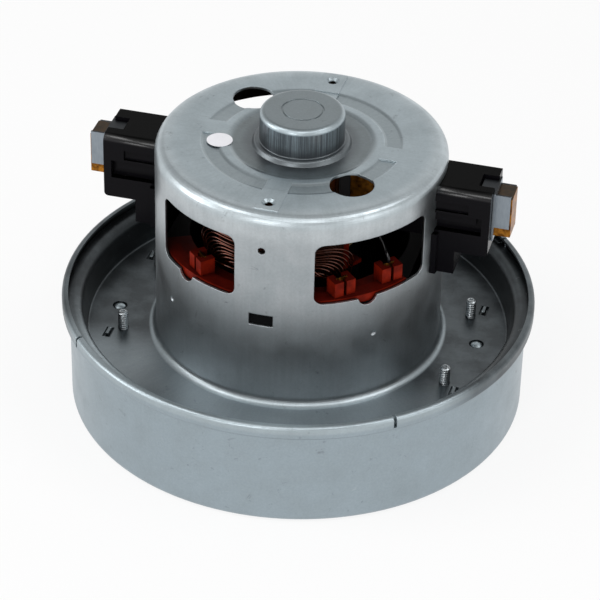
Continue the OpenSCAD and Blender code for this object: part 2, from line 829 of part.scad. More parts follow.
module coil_terminals() {
    color("#b9964a") at_forks() translate([-blade_w / 2, -fork_mid - blade_t / 2, blade_z])
        cube([blade_w, blade_t, fork_z + fork_h + blade_rise - blade_z]);
}

// Lead from the last fork up to the side of the brush tube
lead_d = 0.9;
lead_top = fork_z + fork_h + blade_rise + face_gap;
lead_side = tube_w / 2 + face_gap;
lead_path = [
    at_fork(2, fork_mid, lead_top),
    at_fork(2, fork_mid, lead_top + 1),
    at_fork(2, fork_mid - 1.2, lead_top + 2.4),
    [27, -15.5, brush_z - 5.5],
    [23, -12, brush_z - 4.4],
    [tube_start + 4.4, -8.5, brush_z - 3.6],
    [tube_start + 3.4, -lead_side - 1.8, brush_z - 3.2],
    [tube_start + 3.4, -lead_side, brush_z - 3.2]];
module brush_lead() {
    color("#232123") wire(lead_path, [for (p = lead_path) [0.3, 0.5, 1]], lead_d / 2, wire_sides);
}
module right_brush_lead() { brush_lead(); }
module left_brush_lead() { rotate([0, 0, 180]) brush_lead(); }

// Brush gear, drawn on +X; the other side is its mirror image
module tube_bar(w, h, x0, x1) {
    translate([x0, -w / 2, brush_z - h / 2]) cube([x1 - x0, w, h]);
}

module holder_body_plan() {
    front_r = 2.2;
    rear_r = 0.6;
    w = holder_w / 2;
    h = holder_top - holder_low;
    translate([-w, holder_low]) square([w, h - front_r]);
    translate([0, holder_low]) square([w, h - rear_r]);
    translate([-w + front_r, holder_low]) square([holder_w - front_r - rear_r, h]);
    translate([-w + front_r, holder_top - front_r]) circle(front_r);
    translate([w - rear_r, holder_top - rear_r]) circle(rear_r);
}

module side_cut(x0, x1, z0, z1, depth) {
    for (s = [-1, 1]) translate([x0, s * holder_w / 2 - depth, z0]) cube([x1 - x0, 2 * depth, z1 - z0]);
}

module holder_corner_cut() {
    r = holder_corner;
    difference() {
        translate([0, -holder_w, -past]) cube([r + past, 2 * holder_w, r + past]);
        translate([0, -holder_w - past, r]) rotate([-90, 0, 0]) cylinder(r = r, h = 2 * holder_w + 2 * past);
    }
}

module brush_holder() {
    skirt_in = case_r + face_gap;
    skirt_out = skirt_in + holder_skirt;
    skirt_top = brush_z - 5.2;
    body_x = case_r - 3;
    groove_end = holder_end - 6;
    pocket_end = holder_end - 2.2;
    step_end = pocket_end - 1.6;
    pocket_low = brush_z - 4.5;
    pocket_mid = brush_z - 1.6;
    pocket_top = brush_z + 1;
    groove_low = brush_z + 1.7;
    groove_top = brush_z + 4.7;
    deep = 2;
    shallow = 0.8;
    color("#1d1d1f") difference() {
        union() {
            difference() {
                union() {
                    translate([body_x, 0, 0]) rotate([90, 0, 90]) linear_extrude(holder_end - body_x)
                        holder_body_plan();
                    translate([body_x, -holder_w / 2, holder_leg_z])
                        cube([holder_leg_x - body_x, holder_w, holder_low - holder_leg_z + 0.5]);
                    translate([case_r - 6, -holder_skirt_w / 2, holder_leg_z]) intersection() {
                        cube([8, holder_skirt_w, skirt_top - holder_leg_z]);
                        translate([6 - case_r, holder_skirt_w / 2, 0]) cylinder(r = skirt_out, h = 60);
                    }
                }
                translate([0, 0, holder_leg_z - past]) cylinder(r = skirt_in, h = 60);
            }
            tube_bar(nose_w, nose_h, nose_start, case_r + 2);
        }
        tube_bar(tube_w + 2 * face_gap, tube_h + 2 * face_gap, 0, holder_end + past);
        side_cut(body_x, groove_end, groove_low, groove_top, shallow);
        side_cut(body_x, step_end, pocket_mid, pocket_top, shallow);
        side_cut(step_end, pocket_end, pocket_mid, pocket_top, deep);
        side_cut(body_x, pocket_end, pocket_low, pocket_mid, deep);
        translate([holder_end - notch_len, -notch_w / 2, holder_top - notch_d])
            cube([notch_len + past, notch_w, notch_d + past]);
        translate([holder_end - holder_corner, 0, holder_low]) holder_corner_cut();
    }
}
module right_brush_holder() { brush_holder(); }
module left_brush_holder() { mirror([1, 0, 0]) brush_holder(); }

module brush_tube() {
    color("#c39a48") difference() {
        tube_bar(tube_w, tube_h, tube_start, tube_end);
        tube_bar(tube_in_w, tube_in_h, tube_start - past, tube_end - tube_wall);
    }
}
module right_brush_tube() { brush_tube(); }
module left_brush_tube() { mirror([1, 0, 0]) brush_tube(); }

module brush_terminal() {
    wing_z = brush_z - 3.2;
    rear_wing_h = tube_h / 2 + brush_z - wing_z;
    front_wing_h = rear_wing_h + 1.1;
    strap_w = tube_w + 2.4;
    strap_low = brush_z - tube_h / 2 - 1.2;
    notch_z = holder_top - notch_d + face_gap;
    strap_h = notch_z + terminal_sheet - strap_low;
    tab_w = 5;
    tab_reach = 3.9;
    x0 = holder_end + face_gap;
    wing_len = tube_end - x0 - 0.4;
    wing_y = tube_w / 2 + face_gap;
    color("#c9cccd") {
        difference() {
            translate([x0, -strap_w / 2, strap_low]) cube([terminal_sheet, strap_w, strap_h]);
            tube_bar(tube_w + 2 * face_gap, tube_h + 2 * face_gap, 0, 2 * holder_end);
        }
        translate([x0 - tab_reach, -tab_w / 2, notch_z])
            cube([tab_reach + terminal_sheet / 2, tab_w, terminal_sheet]);
        translate([x0, -wing_y - terminal_sheet, wing_z]) cube([wing_len, terminal_sheet, front_wing_h]);
        translate([x0, wing_y, wing_z]) cube([wing_len, terminal_sheet, rear_wing_h]);
    }
}
module right_brush_terminal() { brush_terminal(); }
module left_brush_terminal() { mirror([1, 0, 0]) brush_terminal(); }

module carbon_brush() {
    color("#2b2b2c") difference() {
        tube_bar(brush_w, brush_h, commutator_r - 2, brush_tail);
        translate([0, 0, brush_z - brush_h]) cylinder(r = commutator_r + brush_gap, h = 2 * brush_h);
    }
}
module right_carbon_brush() { carbon_brush(); }
module left_carbon_brush() { mirror([1, 0, 0]) carbon_brush(); }

spring_x0 = brush_tail + face_gap;
spring_x1 = tube_end - tube_wall - face_gap;
spring_lead = spring_wire * 1.2;
function spring_point(u) = [spring_x0 + spring_lead + u * (spring_x1 - spring_x0 - 2 * spring_lead),
    spring_r * sin(360 * spring_curls * u), brush_z + spring_r * cos(360 * spring_curls * u)];
spring_path = concat([[spring_x0, 0, brush_z + spring_r]],
    [for (i = [0 : 8 * spring_curls]) spring_point(i / (8 * spring_curls))],
    [[spring_x1, 0, brush_z + spring_r]]);
echo(spring_self_gap = self_gap(dense(spring_path, 3), 13, spring_wire));
module brush_spring() {
    ups = [for (p = spring_path) [0.01, p[1], p[2] - brush_z]];
    color("#9a9da0") wire(spring_path, ups, spring_wire / 2, wire_sides);
}
module right_brush_spring() { brush_spring(); }
module left_brush_spring() { mirror([1, 0, 0]) brush_spring(); }

module brush_pigtail() {
    color("#b5662e") translate([spring_x0, 0, brush_z]) rotate([0, 90, 0])
        cylinder(r = pigtail_d / 2, h = spring_x1 - spring_x0);
}
module right_brush_pigtail() { brush_pigtail(); }
module left_brush_pigtail() { mirror([1, 0, 0]) brush_pigtail(); }

// Rotor
module shaft() {
    chamfer = 0.6;
    low = shaft_low + chamfer;
    high = shaft_top - chamfer;
    color("#c4c7c9") {
        translate([0, 0, low]) cylinder(r = shaft_r, h = high - low);
        translate([0, 0, shaft_low]) cylinder(r1 = shaft_r - chamfer, r2 = shaft_r, h = chamfer);
        translate([0, 0, high]) cylinder(r1 = shaft_r, r2 = shaft_r - chamfer, h = chamfer);
    }
}

module armature_plan(r) {
    difference() {
        circle(r);
        circle(shaft_r + fit);
        for (i = [0 : armature_slots - 1]) rotate(i * 360 / armature_slots) {
            translate([r - rotor_slot_in, 0]) circle(rotor_slot_r);
            translate([r - rotor_slot_in, -rotor_slot_r / 2]) square([rotor_slot_in + past, rotor_slot_r]);
        }
    }
}

module armature_core() {
    color("#54575b") translate([0, 0, armature_z]) linear_extrude(armature_len)
        armature_plan(armature_d / 2);
}

module armature_end_discs() {
    color("#b8a27a") for (z = [armature_z - end_disc, armature_top])
        translate([0, 0, z]) linear_extrude(end_disc) armature_plan(armature_d / 2 - 0.6);
}

module upper_armature_winding() {
    r = winding_r;
    z = armature_top + end_disc;
    top = commutator_low - face_gap;
    color("#a85a2a") rotate_extrude() polygon([[winding_in, z], [r - 1, z], [r, z + 1],
        [r, overhang_top - 2.2], [r - 1.4, overhang_top - 0.4], [riser_r, top], [winding_in, top]]);
}

module lower_armature_winding() {
    r = winding_r;
    z = armature_z - end_disc;
    color("#a85a2a") rotate_extrude() polygon([[winding_in, z], [r - 1, z], [r, z - 1],
        [r, overhang_low + 1], [r - 1.2, overhang_low], [winding_in, overhang_low]]);
}

module commutator_hub() {
    color("#3a2f2a") ring(shaft_r + fit, bar_in - face_gap, commutator_low, hub_top - commutator_low);
}

module commutator_bars() {
    pitch = 360 / commutator_bars;
    half = pitch / 2 - 0.85;
    color("#b8713c") for (i = [0 : commutator_bars - 1]) rotate([0, 0, i * pitch]) {
        sector(bar_in, commutator_r, -half, half, commutator_low, commutator_top - commutator_low);
        sector(bar_in, riser_r, -half, half, commutator_low, riser_h);
    }
}

module shaft_sleeve(z0, z1, r) {
    ring(shaft_r + fit, r, z0, z1 - z0);
}
module lower_shaft_sleeve() {
    color("#8f8a80") shaft_sleeve(lower_top, armature_z - end_disc, sleeve_r);
}
module upper_shaft_sleeve() {
    color("#8f8a80") shaft_sleeve(hub_top, upper_z, sleeve_r);
}

// Ball bearing pieces, from the height of the bearing's lower face
module race_cut(z) {
    rotate_extrude() translate([pitch_r, z + bearing_w / 2]) circle(ball_d / 2 + ball_play);
}

module outer_ring(z) {
    c = 0.6;
    r = bearing_d / 2;
    race = pitch_r + race_half;
    top = z + bearing_w;
    color("#c8cbce") difference() {
        rotate_extrude() polygon([[race, z], [r - c, z], [r, z + c],
            [r, top - c], [r - c, top], [race, top]]);
        race_cut(z);
    }
}

module inner_ring(z) {
    color("#c8cbce") difference() {
        ring(shaft_r + fit, pitch_r - race_half, z, bearing_w);
        race_cut(z);
    }
}

module bearing_balls(z) {
    color("#d9dcde") for (i = [0 : balls - 1]) rotate([0, 0, i * 360 / balls])
        translate([pitch_r, 0, z + bearing_w / 2]) sphere(ball_d / 2);
}

module bearing_cage(z) {
    half = ball_d / 2 + 0.42;
    color("#b08c4a") difference() {
        ring(pitch_r - 0.7, pitch_r + 0.7, z + bearing_w / 2 - half, 2 * half);
        for (i = [0 : balls - 1]) rotate([0, 0, i * 360 / balls])
            translate([pitch_r, 0, z + bearing_w / 2]) sphere(ball_d / 2 + 0.05);
    }
}

module bearing_shields(z) {
    inset = 0.3;
    sheet = 0.3;
    color("#aeb2b5") for (h = [inset, bearing_w - inset - sheet])
        ring(pitch_r - race_half + 0.3, pitch_r + race_half - face_gap, z + h, sheet);
}

module upper_bearing_outer_ring() { outer_ring(upper_z); }
module upper_bearing_inner_ring() { inner_ring(upper_z); }
module upper_bearing_balls() { bearing_balls(upper_z); }
module upper_bearing_cage() { bearing_cage(upper_z); }
module upper_bearing_shields() { bearing_shields(upper_z); }
module lower_bearing_outer_ring() { outer_ring(lower_z); }
module lower_bearing_inner_ring() { inner_ring(lower_z); }
module lower_bearing_balls() { bearing_balls(lower_z); }
module lower_bearing_cage() { bearing_cage(lower_z); }
module lower_bearing_shields() { bearing_shields(lower_z); }

// Dished spring washer that loads the upper bearing's outer ring
module preload_washer() {
    t = 0.4;
    low = upper_top + face_gap;
    high = boss_top - case_sheet - face_gap;
    rim = bearing_d / 2 - 0.9;
    color("#a7abad") rotate_extrude()
        polygon([[rim, low], [rim, low + t], [pitch_r, high], [pitch_r, high - t]]);
}

// Impeller
module impeller_back_plate() {
    color("#c9cdcf") ring(shaft_r + fit, impeller_r, impeller_z, back_sheet);
}

function cone_z(r) = cone_in + (cone_out - cone_in) * (r - eye_mid) / (impeller_r - eye_mid);

module impeller_front_plate() {
    bend = front_sheet / 2 + 0.5;
    color("#c9cdcf") sheet_shell([[eye_mid, eye_low], [eye_mid, cone_in, bend], [impeller_r, cone_out]],
        front_sheet);
}

module impeller_blades() {
    r0 = eye_mid + 1.6;
    r1 = impeller_r - 1;
    lift = front_sheet / 2 + face_gap;
    low_in = cone_z(r0) + lift;
    low_out = cone_z(r1) + lift;
    color("#c3c8ca") intersection() {
        rotate_extrude() polygon([[r0, low_in], [r1, low_out], [r1, impeller_z], [r0, impeller_z]]);
        linear_extrude(impeller_z + past) for (i = [0 : impeller_blades_n - 1])
            rotate(i * 360 / impeller_blades_n) vane_plan(r0 - past, r1 + past, blade_sheet, blade_bow);
    }
}

module impeller_sleeve() {
    color("#9da1a3") {
        shaft_sleeve(back_top, lower_z, shaft_r + 1.8);
        ring(shaft_r + fit, shaft_r + 5, back_top, 1.4);
    }
}

module impeller_washer() {
    color("#9da1a3") ring(shaft_r + fit, shaft_r + 5.5, impeller_z - washer_t, washer_t);
}

module impeller_nut() {
    color("#8d9193") translate([0, 0, impeller_z - washer_t - nut_h]) difference() {
        cylinder(r = nut_flats / sqrt(3), h = nut_h, $fn = 6);
        translate([0, 0, -past]) cylinder(r = shaft_r + fit, h = nut_h + 2 * past);
    }
}

motor_case();
fan_cover();
bearing_bracket();
diffuser();
diffuser_screws();
stator_core();
upper_insulator();
lower_insulator();
front_coil_core();
rear_coil_core();
front_coil_wire();
rear_coil_wire();
coil_terminals();
right_brush_lead();
left_brush_lead();
right_brush_holder();
left_brush_holder();
right_brush_tube();
left_brush_tube();
right_brush_terminal();
left_brush_terminal();
right_carbon_brush();
left_carbon_brush();
right_brush_spring();
left_brush_spring();
right_brush_pigtail();
left_brush_pigtail();
shaft();
armature_core();
armature_end_discs();
upper_armature_winding();
lower_armature_winding();
commutator_hub();
commutator_bars();
lower_shaft_sleeve();
upper_shaft_sleeve();
upper_bearing_outer_ring();
upper_bearing_inner_ring();
upper_bearing_balls();
upper_bearing_cage();
upper_bearing_shields();
lower_bearing_outer_ring();
lower_bearing_inner_ring();
lower_bearing_balls();
lower_bearing_cage();
lower_bearing_shields();
preload_washer();
impeller_back_plate();
impeller_blades();
impeller_front_plate();
impeller_sleeve();
impeller_washer();
impeller_nut();
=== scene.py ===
"""Vacuum motor unit: windings, springs, screws, finishes and stage around the packed solids."""
import json
import math
from functools import partial
from typing import NamedTuple

import bmesh
import bpy
import numpy as np
from mathutils import Matrix, Vector


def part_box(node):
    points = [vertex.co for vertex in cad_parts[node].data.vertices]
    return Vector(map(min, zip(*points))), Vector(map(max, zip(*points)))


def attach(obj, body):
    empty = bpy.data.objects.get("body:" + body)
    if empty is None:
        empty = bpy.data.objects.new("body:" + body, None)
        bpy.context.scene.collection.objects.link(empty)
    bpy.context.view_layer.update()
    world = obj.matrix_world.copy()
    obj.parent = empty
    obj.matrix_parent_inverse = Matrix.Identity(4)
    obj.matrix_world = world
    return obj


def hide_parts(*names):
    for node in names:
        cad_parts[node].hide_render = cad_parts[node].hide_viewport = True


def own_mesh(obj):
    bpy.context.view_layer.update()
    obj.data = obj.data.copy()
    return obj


bl_info = {
    "name": "Vacuum motor unit",
    "version": (1, 0, 0),
    "blender": (4, 5, 0),
    "location": "View3D > Sidebar > Motor unit",
    "description": "Winds the coils, cuts the threads and finishes every surface of a vacuum motor unit",
    "category": "Object",
}

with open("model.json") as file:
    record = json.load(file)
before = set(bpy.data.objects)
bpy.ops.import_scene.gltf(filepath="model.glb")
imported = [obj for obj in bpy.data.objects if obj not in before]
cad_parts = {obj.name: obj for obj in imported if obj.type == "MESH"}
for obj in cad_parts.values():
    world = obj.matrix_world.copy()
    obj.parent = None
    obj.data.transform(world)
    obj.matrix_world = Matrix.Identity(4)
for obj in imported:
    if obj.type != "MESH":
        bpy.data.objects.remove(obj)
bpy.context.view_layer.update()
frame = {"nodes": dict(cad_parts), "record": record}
MM = 0.001
SLOT_OF = {part["node"]: part["material_slot"] for part in frame["record"]["subparts"]}
MOUNT = {mount["name"]: mount for mount in frame["record"]["mounts"]}
# Heights of the case's top plate and of the stator stack's upper face
PLATE_Z = MOUNT["pilot_holes"]["pos_m"][2]
STATOR_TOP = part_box("stator_core")[1].z
# Places along Y, in millimetres, before and behind the whole motor, and the soft edge of a zone along Y
ALL_ROUND, FAR_BACK, FADE = -200, 200, 18
# How far a face looks up where the painted shade on upper faces begins and where it is full: 1 is level
TOP_SHADE_LIMITS = (0.4, 0.8)
# Level of the sky's light, where 1 is white
CEILING = 0.45
# Length of one wave of a wave texture at scale 1
WAVE = 2 * math.pi / 20


def linear(code):
    """Turn an sRGB hex code into linear red, green and blue."""
    srgb = np.array([int(code[i:i + 2], 16) for i in (1, 3, 5)]) / 255
    return tuple(np.where(srgb <= 0.04045, srgb / 12.92, ((srgb + 0.055) / 1.055) ** 2.4).tolist())


def length(name, description, mm):
    """A size that the user sets, shown in the scene's length unit."""
    return bpy.props.FloatProperty(name=name, description=description, default=mm * MM,
                                   subtype="DISTANCE", unit="LENGTH", precision=5)


def angle(name, description, degrees):
    """An angle that the user sets."""
    return bpy.props.FloatProperty(name=name, description=description, default=math.radians(degrees),
                                   subtype="ANGLE", unit="ROTATION")


def colour(name, description, code):
    """A finish colour that the user sets, from its sRGB hex code."""
    return bpy.props.FloatVectorProperty(name=name, description=description, default=linear(code),
                                         subtype="COLOR", size=3, min=0, max=1)


class CoilSizes(bpy.types.PropertyGroup):
    """Sizes of the field coils, and the place of the forks that their leads end in."""

    wire: length("Wire", "Diameter of the enamelled wire", 0.47)
    turns: bpy.props.IntProperty(name="Turns", description="Turns in a coil's outer layer", default=12,
                                 min=8, max=14)
    slot_r: length("Slot radius", "Distance of the outer layer from the axis in the slots", 27)
    face_r: length("Face radius", "Distance of the outer layer from the axis above the core", 31.85)
    start: length("First turn", "Half width of the innermost turn", 12.7)
    spread: length("Spread", "Width of the layer in the slots", 7.6)
    top_low: length("Lowest top run", "Height of the innermost turn's top", 57.5)
    top_spread: length("Top spread", "Height of the layer above the core", 9.6)
    low_high: length("Highest low run", "Height of the innermost turn's bottom", 29.2)
    waver: length("Waver", "How far the hand-laid top runs stray", 0.22)
    fork_turn: angle("Fork turn", "Angle that the forks face, to either side", 45)
    fork_out: length("Fork blade", "Distance of a fork's blade from the axis, square to its front", 35.2)
    fork_side: length("Fork side", "Distance of a fork from the middle of its pair", 7.45)
    strand: length("Strand", "Width of one wire in the packed turns", 0.62)


class BrushSizes(bpy.types.PropertyGroup):
    """Sizes of the brush springs, pigtails and leads."""

    spring_wire: length("Spring wire", "Diameter of the spring wire", 0.6)
    spring_turns: bpy.props.FloatProperty(name="Spring turns", description="Turns with closed ends",
                                          default=11, min=9, max=14)
    pigtail: length("Pigtail", "Diameter of the stranded pigtail", 1.2)
    lead: length("Lead", "Diameter of the lead to the brush tube", 0.9)


class ScrewSizes(bpy.types.PropertyGroup):
    """Sizes of the screws whose tips stand in the trough."""

    ring: length("Ring", "Distance of the screws from the axis", 50.2)
    half_angle: angle("Half angle", "Angle of each screw from the brush line", 20)
    pitch: length("Pitch", "Thread pitch", 0.75)
    depth: length("Depth", "Thread depth", 0.24)
    radius: length("Radius", "Thread's outer radius", 1.5)
    head_r: length("Head radius", "Radius of the head", 2.9)
    head_h: length("Head height", "Height of the head", 1.8)


class StickerSizes(bpy.types.PropertyGroup):
    """Place and size of the blank dot on the top plate."""

    diameter: length("Diameter", "Diameter of the dot", 7.2)
    ring: length("Ring", "Distance of the dot from the axis", 22.7)
    turn: angle("Turn", "Angle of the dot from the front, towards the right brush", -73)


class FinishColours(bpy.types.PropertyGroup):
    """Colours of the finishes, as they look in plain light. Some zinc colours also serve as painted shade
    and a painted highlight.
    """

    zinc: colour("Zinc", "Zinc-coated sheet", "#a5b0b5")
    # Bright scuffs on the zinc, and also a painted highlight on the case wall just under the plate
    zinc_scuff_and_highlight: colour("Bright zinc", "Zinc that the die polished", "#c9d0d3")
    zinc_plain: colour("Plain zinc", "Zinc on the case wall", "#a9aeb1")
    zinc_can: colour("Can zinc", "Zinc on the fan can", "#98a4ab")
    # Also painted shade in the case's ring groove
    zinc_dull: colour("Dull zinc", "Handled and greased zinc", "#6f7678")
    # Dark rubs and streaks on the zinc, and also painted shade on the trough floor
    zinc_dark_rub_and_shade: colour("Trough zinc", "Burnished zinc in the trough", "#585b5f")
    # Painted shade on zinc: the trough's walls, the ledge, the lip, the case's inside and the bracket in the
    # trough
    zinc_shade: colour("Shaded zinc", "Greasy zinc on the trough's wall", "#35383a")
    black: colour("Black plastic", "Moulded holders", "#0c0b0e")
    red: colour("Red plastic", "Stator insulators", "#7c1c0b")
    # Darkened in part as painted shade of the motor's inside
    copper: colour("Copper", "Enamelled wire", "#5e2812")
    brass: colour("Brass", "Drawn brass", "#a8702a")
    tin: colour("Tin", "Tinned terminals", "#979fa6")
    steel: colour("Steel", "Ground and plated steel", "#b3b8bb")


class StageSettings(bpy.types.PropertyGroup):
    """The camera that takes the photograph's view."""

    distance: length("Distance", "Distance of the camera from its first aim", 778.2)
    aim_z: length("First aim", "Height of the point that the distance is measured from", 51)
    centre_z: length("Centre", "Height of the point that appears in the picture's middle", 28.88)
    aside: length("Aside", "How far that point lies to the right of the axis", 0.51)
    azimuth: angle("Azimuth", "Camera's turn from the front towards the right brush", 14.37)
    elevation: angle("Elevation", "Camera's height angle", 33.08)
    roll: angle("Roll", "Camera's tilt", 1.37)
    lens: bpy.props.FloatProperty(name="Lens", description="Focal length on a 36 mm sensor",
                                  default=165.36, subtype="DISTANCE_CAMERA", unit="CAMERA")


def unit(v):
    """Scale rows of vectors to length one."""
    return v / np.linalg.norm(v, axis=-1, keepdims=True)


def smooth(u):
    """Smooth step from 0 to 1."""
    c = np.clip(u, 0, 1)
    return c * c * (3 - 2 * c)


def polar(r, turn, z):
    """Points at a radius, an angle from the front (-Y) towards +X, and a height."""
    r, turn, z = np.broadcast_arrays(r, turn, z)
    return np.stack([r * np.sin(turn), -r * np.cos(turn), z], -1)


def half_turned(points):
    """The same points on the other side of the axis."""
    return points * np.array([-1, -1, 1])


def closed_patch(points, wrap_rows=False):
    """A grid of rings as a closed patch: quads between neighbouring rings, and a flat cap on each end,
    unless the last ring joins the first."""
    rows, cols = points.shape[:2]
    i = np.arange(rows if wrap_rows else rows - 1)[:, None]
    j = np.arange(cols)[None, :]
    up, along = (i + 1) % rows * cols, (j + 1) % cols
    corners = np.broadcast_arrays(i * cols + j, i * cols + along, up + along, up + j)
    faces = [np.stack(corners, -1).reshape(-1, 4)]
    if not wrap_rows:
        faces += [j[:, ::-1], j + (rows - 1) * cols]
    return points.reshape(-1, 3), faces


def sweep(path, up, outline):
    """A closed outline carried along a path: each ring is the path's point plus x times the direction
    that is nearest to up and square to the path, plus y times the direction square to both."""
    ahead = unit(np.gradient(path, axis=0))
    top = unit(up - ahead * np.sum(up * ahead, -1, keepdims=True))
    side = np.cross(ahead, top)
    outline = np.broadcast_to(outline, (len(path), *outline.shape[-2:]))
    rings = path[:, None] + outline[..., :1] * top[:, None] + outline[..., 1:] * side[:, None]
    return closed_patch(rings)


def even_turns(count):
    """Angles spread evenly over a full turn."""
    return np.arange(count) / count * 2 * np.pi


def round_outline(radius, sides):
    """A circle as a closed outline."""
    turn = even_turns(sides)
    return radius * np.stack([np.cos(turn), np.sin(turn)], -1)


def smooth_route(points, steps=10):
    """A curve through given points: each span is the cubic whose ends follow its neighbours."""
    p = np.vstack([2 * points[0] - points[1], points, 2 * points[-1] - points[-2]])
    u = (np.arange(steps) / steps)[None, :, None]
    a, b, c, d = (p[i:len(p) - 3 + i, None] for i in range(4))
    spans = b + u / 2 * (c - a + u * (2 * a - 5 * b + 4 * c - d + u * (3 * (b - c) + d - a)))
    return np.vstack([spans.reshape(-1, 3), points[-1:]])


def piece(name, patches, material, body="stator", stands_for=(), crease=40):
    """Join closed patches into one object at the origin, finish it and hang it on its body."""
    places, faces, first = [], [], 0
    for points, patch_faces in patches:
        places.append(points)
        for group in patch_faces:
            faces += (group + first).tolist()
        first += len(points)
    mesh = bpy.data.meshes.new(name)
    mesh.from_pydata(np.concatenate(places).tolist(), [], faces)
    shape = bmesh.new()
    shape.from_mesh(mesh)
    bmesh.ops.recalc_face_normals(shape, faces=shape.faces)
    shape.to_mesh(mesh)
    shape.free()
    mesh.polygons.foreach_set("use_smooth", np.ones(len(mesh.polygons), bool))
    mesh.set_sharp_from_angle(angle=math.radians(crease))
    mesh.materials.append(material)
    obj = bpy.data.objects.new(name, mesh)
    bpy.context.scene.collection.objects.link(obj)
    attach(obj, body)
    if stands_for:
        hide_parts(*stands_for)
    return obj


def add(tree, kind, inputs=None, **settings):
    """Add a node, change its settings, and set or link its inputs."""
    node = tree.nodes.new(kind)
    for key, value in settings.items():
        setattr(node, key, value)
    for key, value in (inputs or {}).items():
        if isinstance(value, bpy.types.NodeSocket):
            tree.links.new(value, node.inputs[key])
        else:
            node.inputs[key].default_value = value
    return node


def shade(code):
    """A linear colour with its alpha, from its sRGB hex code or from its name among the settings."""
    tint = linear(code) if code.startswith("#") else getattr(bpy.context.scene.motor_colours, code)
    return (*tint, 1)


def empty_tree(owner):
    """Give a material or a world an empty node tree."""
    owner.use_nodes = True
    owner.node_tree.nodes.clear()
    return owner.node_tree


def new_material(name, tint, metallic, roughness, **more):
    """Start a material: a principled shader with its plain values, and the piece's own coordinates."""
    base = shade(tint)
    material = bpy.data.materials.new(name)
    material.diffuse_color = base
    tree = empty_tree(material)
    values = {"Base Color": base, "Metallic": metallic, "Roughness": roughness, **more}
    shader = add(tree, "ShaderNodeBsdfPrincipled", values)
    add(tree, "ShaderNodeOutputMaterial", {"Surface": shader.outputs[0]})
    place = add(tree, "ShaderNodeTexCoord").outputs["Object"]
    return material, tree, shader, place


def vary(tree, shader, pattern, tint, other, rough, height, strength):
    """Let one pattern, from 0 to 1, move the colour between two tints, the roughness between two values
    and the surface by a height in millimetres, at a strength. Returns the colour."""
    mixed = {0: pattern, 6: shade(tint), 7: shade(other)}
    coat = add(tree, "ShaderNodeMix", mixed, data_type="RGBA").outputs[2]
    tree.links.new(coat, shader.inputs["Base Color"])
    shine = add(tree, "ShaderNodeMapRange", {"Value": pattern, "To Min": rough[0], "To Max": rough[1]})
    tree.links.new(shine.outputs[0], shader.inputs["Roughness"])
    if height:
        relief = {"Height": pattern, "Distance": height * MM, "Strength": strength}
        tree.links.new(add(tree, "ShaderNodeBump", relief).outputs[0], shader.inputs["Normal"])
    return coat


def per_metre(mm):
    """Scale of a pattern whose features are this many millimetres across."""
    return 1 / (mm * MM)


def grained(name, tint, other, metallic, rough, mm, detail, height=0.0, strength=0.5, stretch=None,
            viewport=None, **more):
    """Start a material with one grain, a noise whose features are this many millimetres across. A stretch
    draws it out into lines. It moves the colour, the roughness and the surface as vary says. The viewport
    shows the first tint, unless it is given its own."""
    material, tree, shader, place = new_material(name, viewport or tint, metallic, rough[0], **more)
    if stretch:
        place = add(tree, "ShaderNodeMapping", {"Vector": place, "Scale": stretch}).outputs[0]
    noise = {"Vector": place, "Scale": per_metre(mm), "Detail": detail}
    grain = add(tree, "ShaderNodeTexNoise", noise).outputs[0]
    coat = vary(tree, shader, grain, tint, other, rough, height, strength)
    return material, tree, shader, coat


def upward(tree):
    """How far a face looks up, from -1 to 1."""
    normal = add(tree, "ShaderNodeNewGeometry").outputs["Normal"]
    return add(tree, "ShaderNodeSeparateXYZ", {0: normal}).outputs[2]


def seen_ray(tree):
    """1 for a ray from the camera, or one that a shiny or clear surface sends on, and 0 for any other."""
    path = add(tree, "ShaderNodeLightPath").outputs
    seen = path["Is Camera Ray"]
    for kind in ("Is Glossy Ray", "Is Transmission Ray"):
        seen = add(tree, "ShaderNodeMath", {0: seen, 1: path[kind]}, operation="MAXIMUM").outputs[0]
    return seen


def cylinder_place(tree, place):
    """Radius, angle and height of a point about the motor's axis."""
    xyz = add(tree, "ShaderNodeSeparateXYZ", {0: place}).outputs
    flat = add(tree, "ShaderNodeCombineXYZ", {0: xyz[0], 1: xyz[1]}).outputs[0]
    radius = add(tree, "ShaderNodeVectorMath", {0: flat}, operation="LENGTH").outputs["Value"]
    turn = add(tree, "ShaderNodeMath", {0: xyz[1], 1: xyz[0]}, operation="ARCTAN2").outputs[0]
    return radius, turn, xyz[2]


def lay_over(tree, coat, tint, pattern, limits, shares):
    """Lay a tint over a coat: its share goes from the first of two shares to the second as the pattern goes
    from the first of two limits to the second. The coat is a socket or, like the tint, a colour's code."""
    under = coat if isinstance(coat, bpy.types.NodeSocket) else shade(coat)
    share = add(tree, "ShaderNodeMapRange", {"Value": pattern, "From Min": limits[0], "From Max": limits[1],
                                             "To Min": shares[0], "To Max": shares[1]}).outputs[0]
    return add(tree, "ShaderNodeMix", {0: share, 6: under, 7: shade(tint)}, data_type="RGBA").outputs[2]


def painted_shade_on_top(tree, coat, tint, share):
    """Lay a share of painted shade over a coat where its face looks up."""
    return lay_over(tree, coat, tint, upward(tree), TOP_SHADE_LIMITS, (0.0, share))


def within(tree, share, value, low, high, soft):
    """Keep a share where a value lies between two limits, and let it fade to 0 over a soft edge outside
    them: a rise from 0 to the share, then a fall back to 0. The limits and the edge are in millimetres."""
    rise = {"Value": value, "From Min": (low - soft) * MM, "From Max": low * MM, "To Max": share}
    inside = add(tree, "ShaderNodeMapRange", rise, interpolation_type="SMOOTHSTEP").outputs[0]
    fall = {"Value": value, "From Min": high * MM, "From Max": (high + soft) * MM, "To Min": inside,
            "To Max": 0.0}
    return add(tree, "ShaderNodeMapRange", fall, interpolation_type="SMOOTHSTEP").outputs[0]


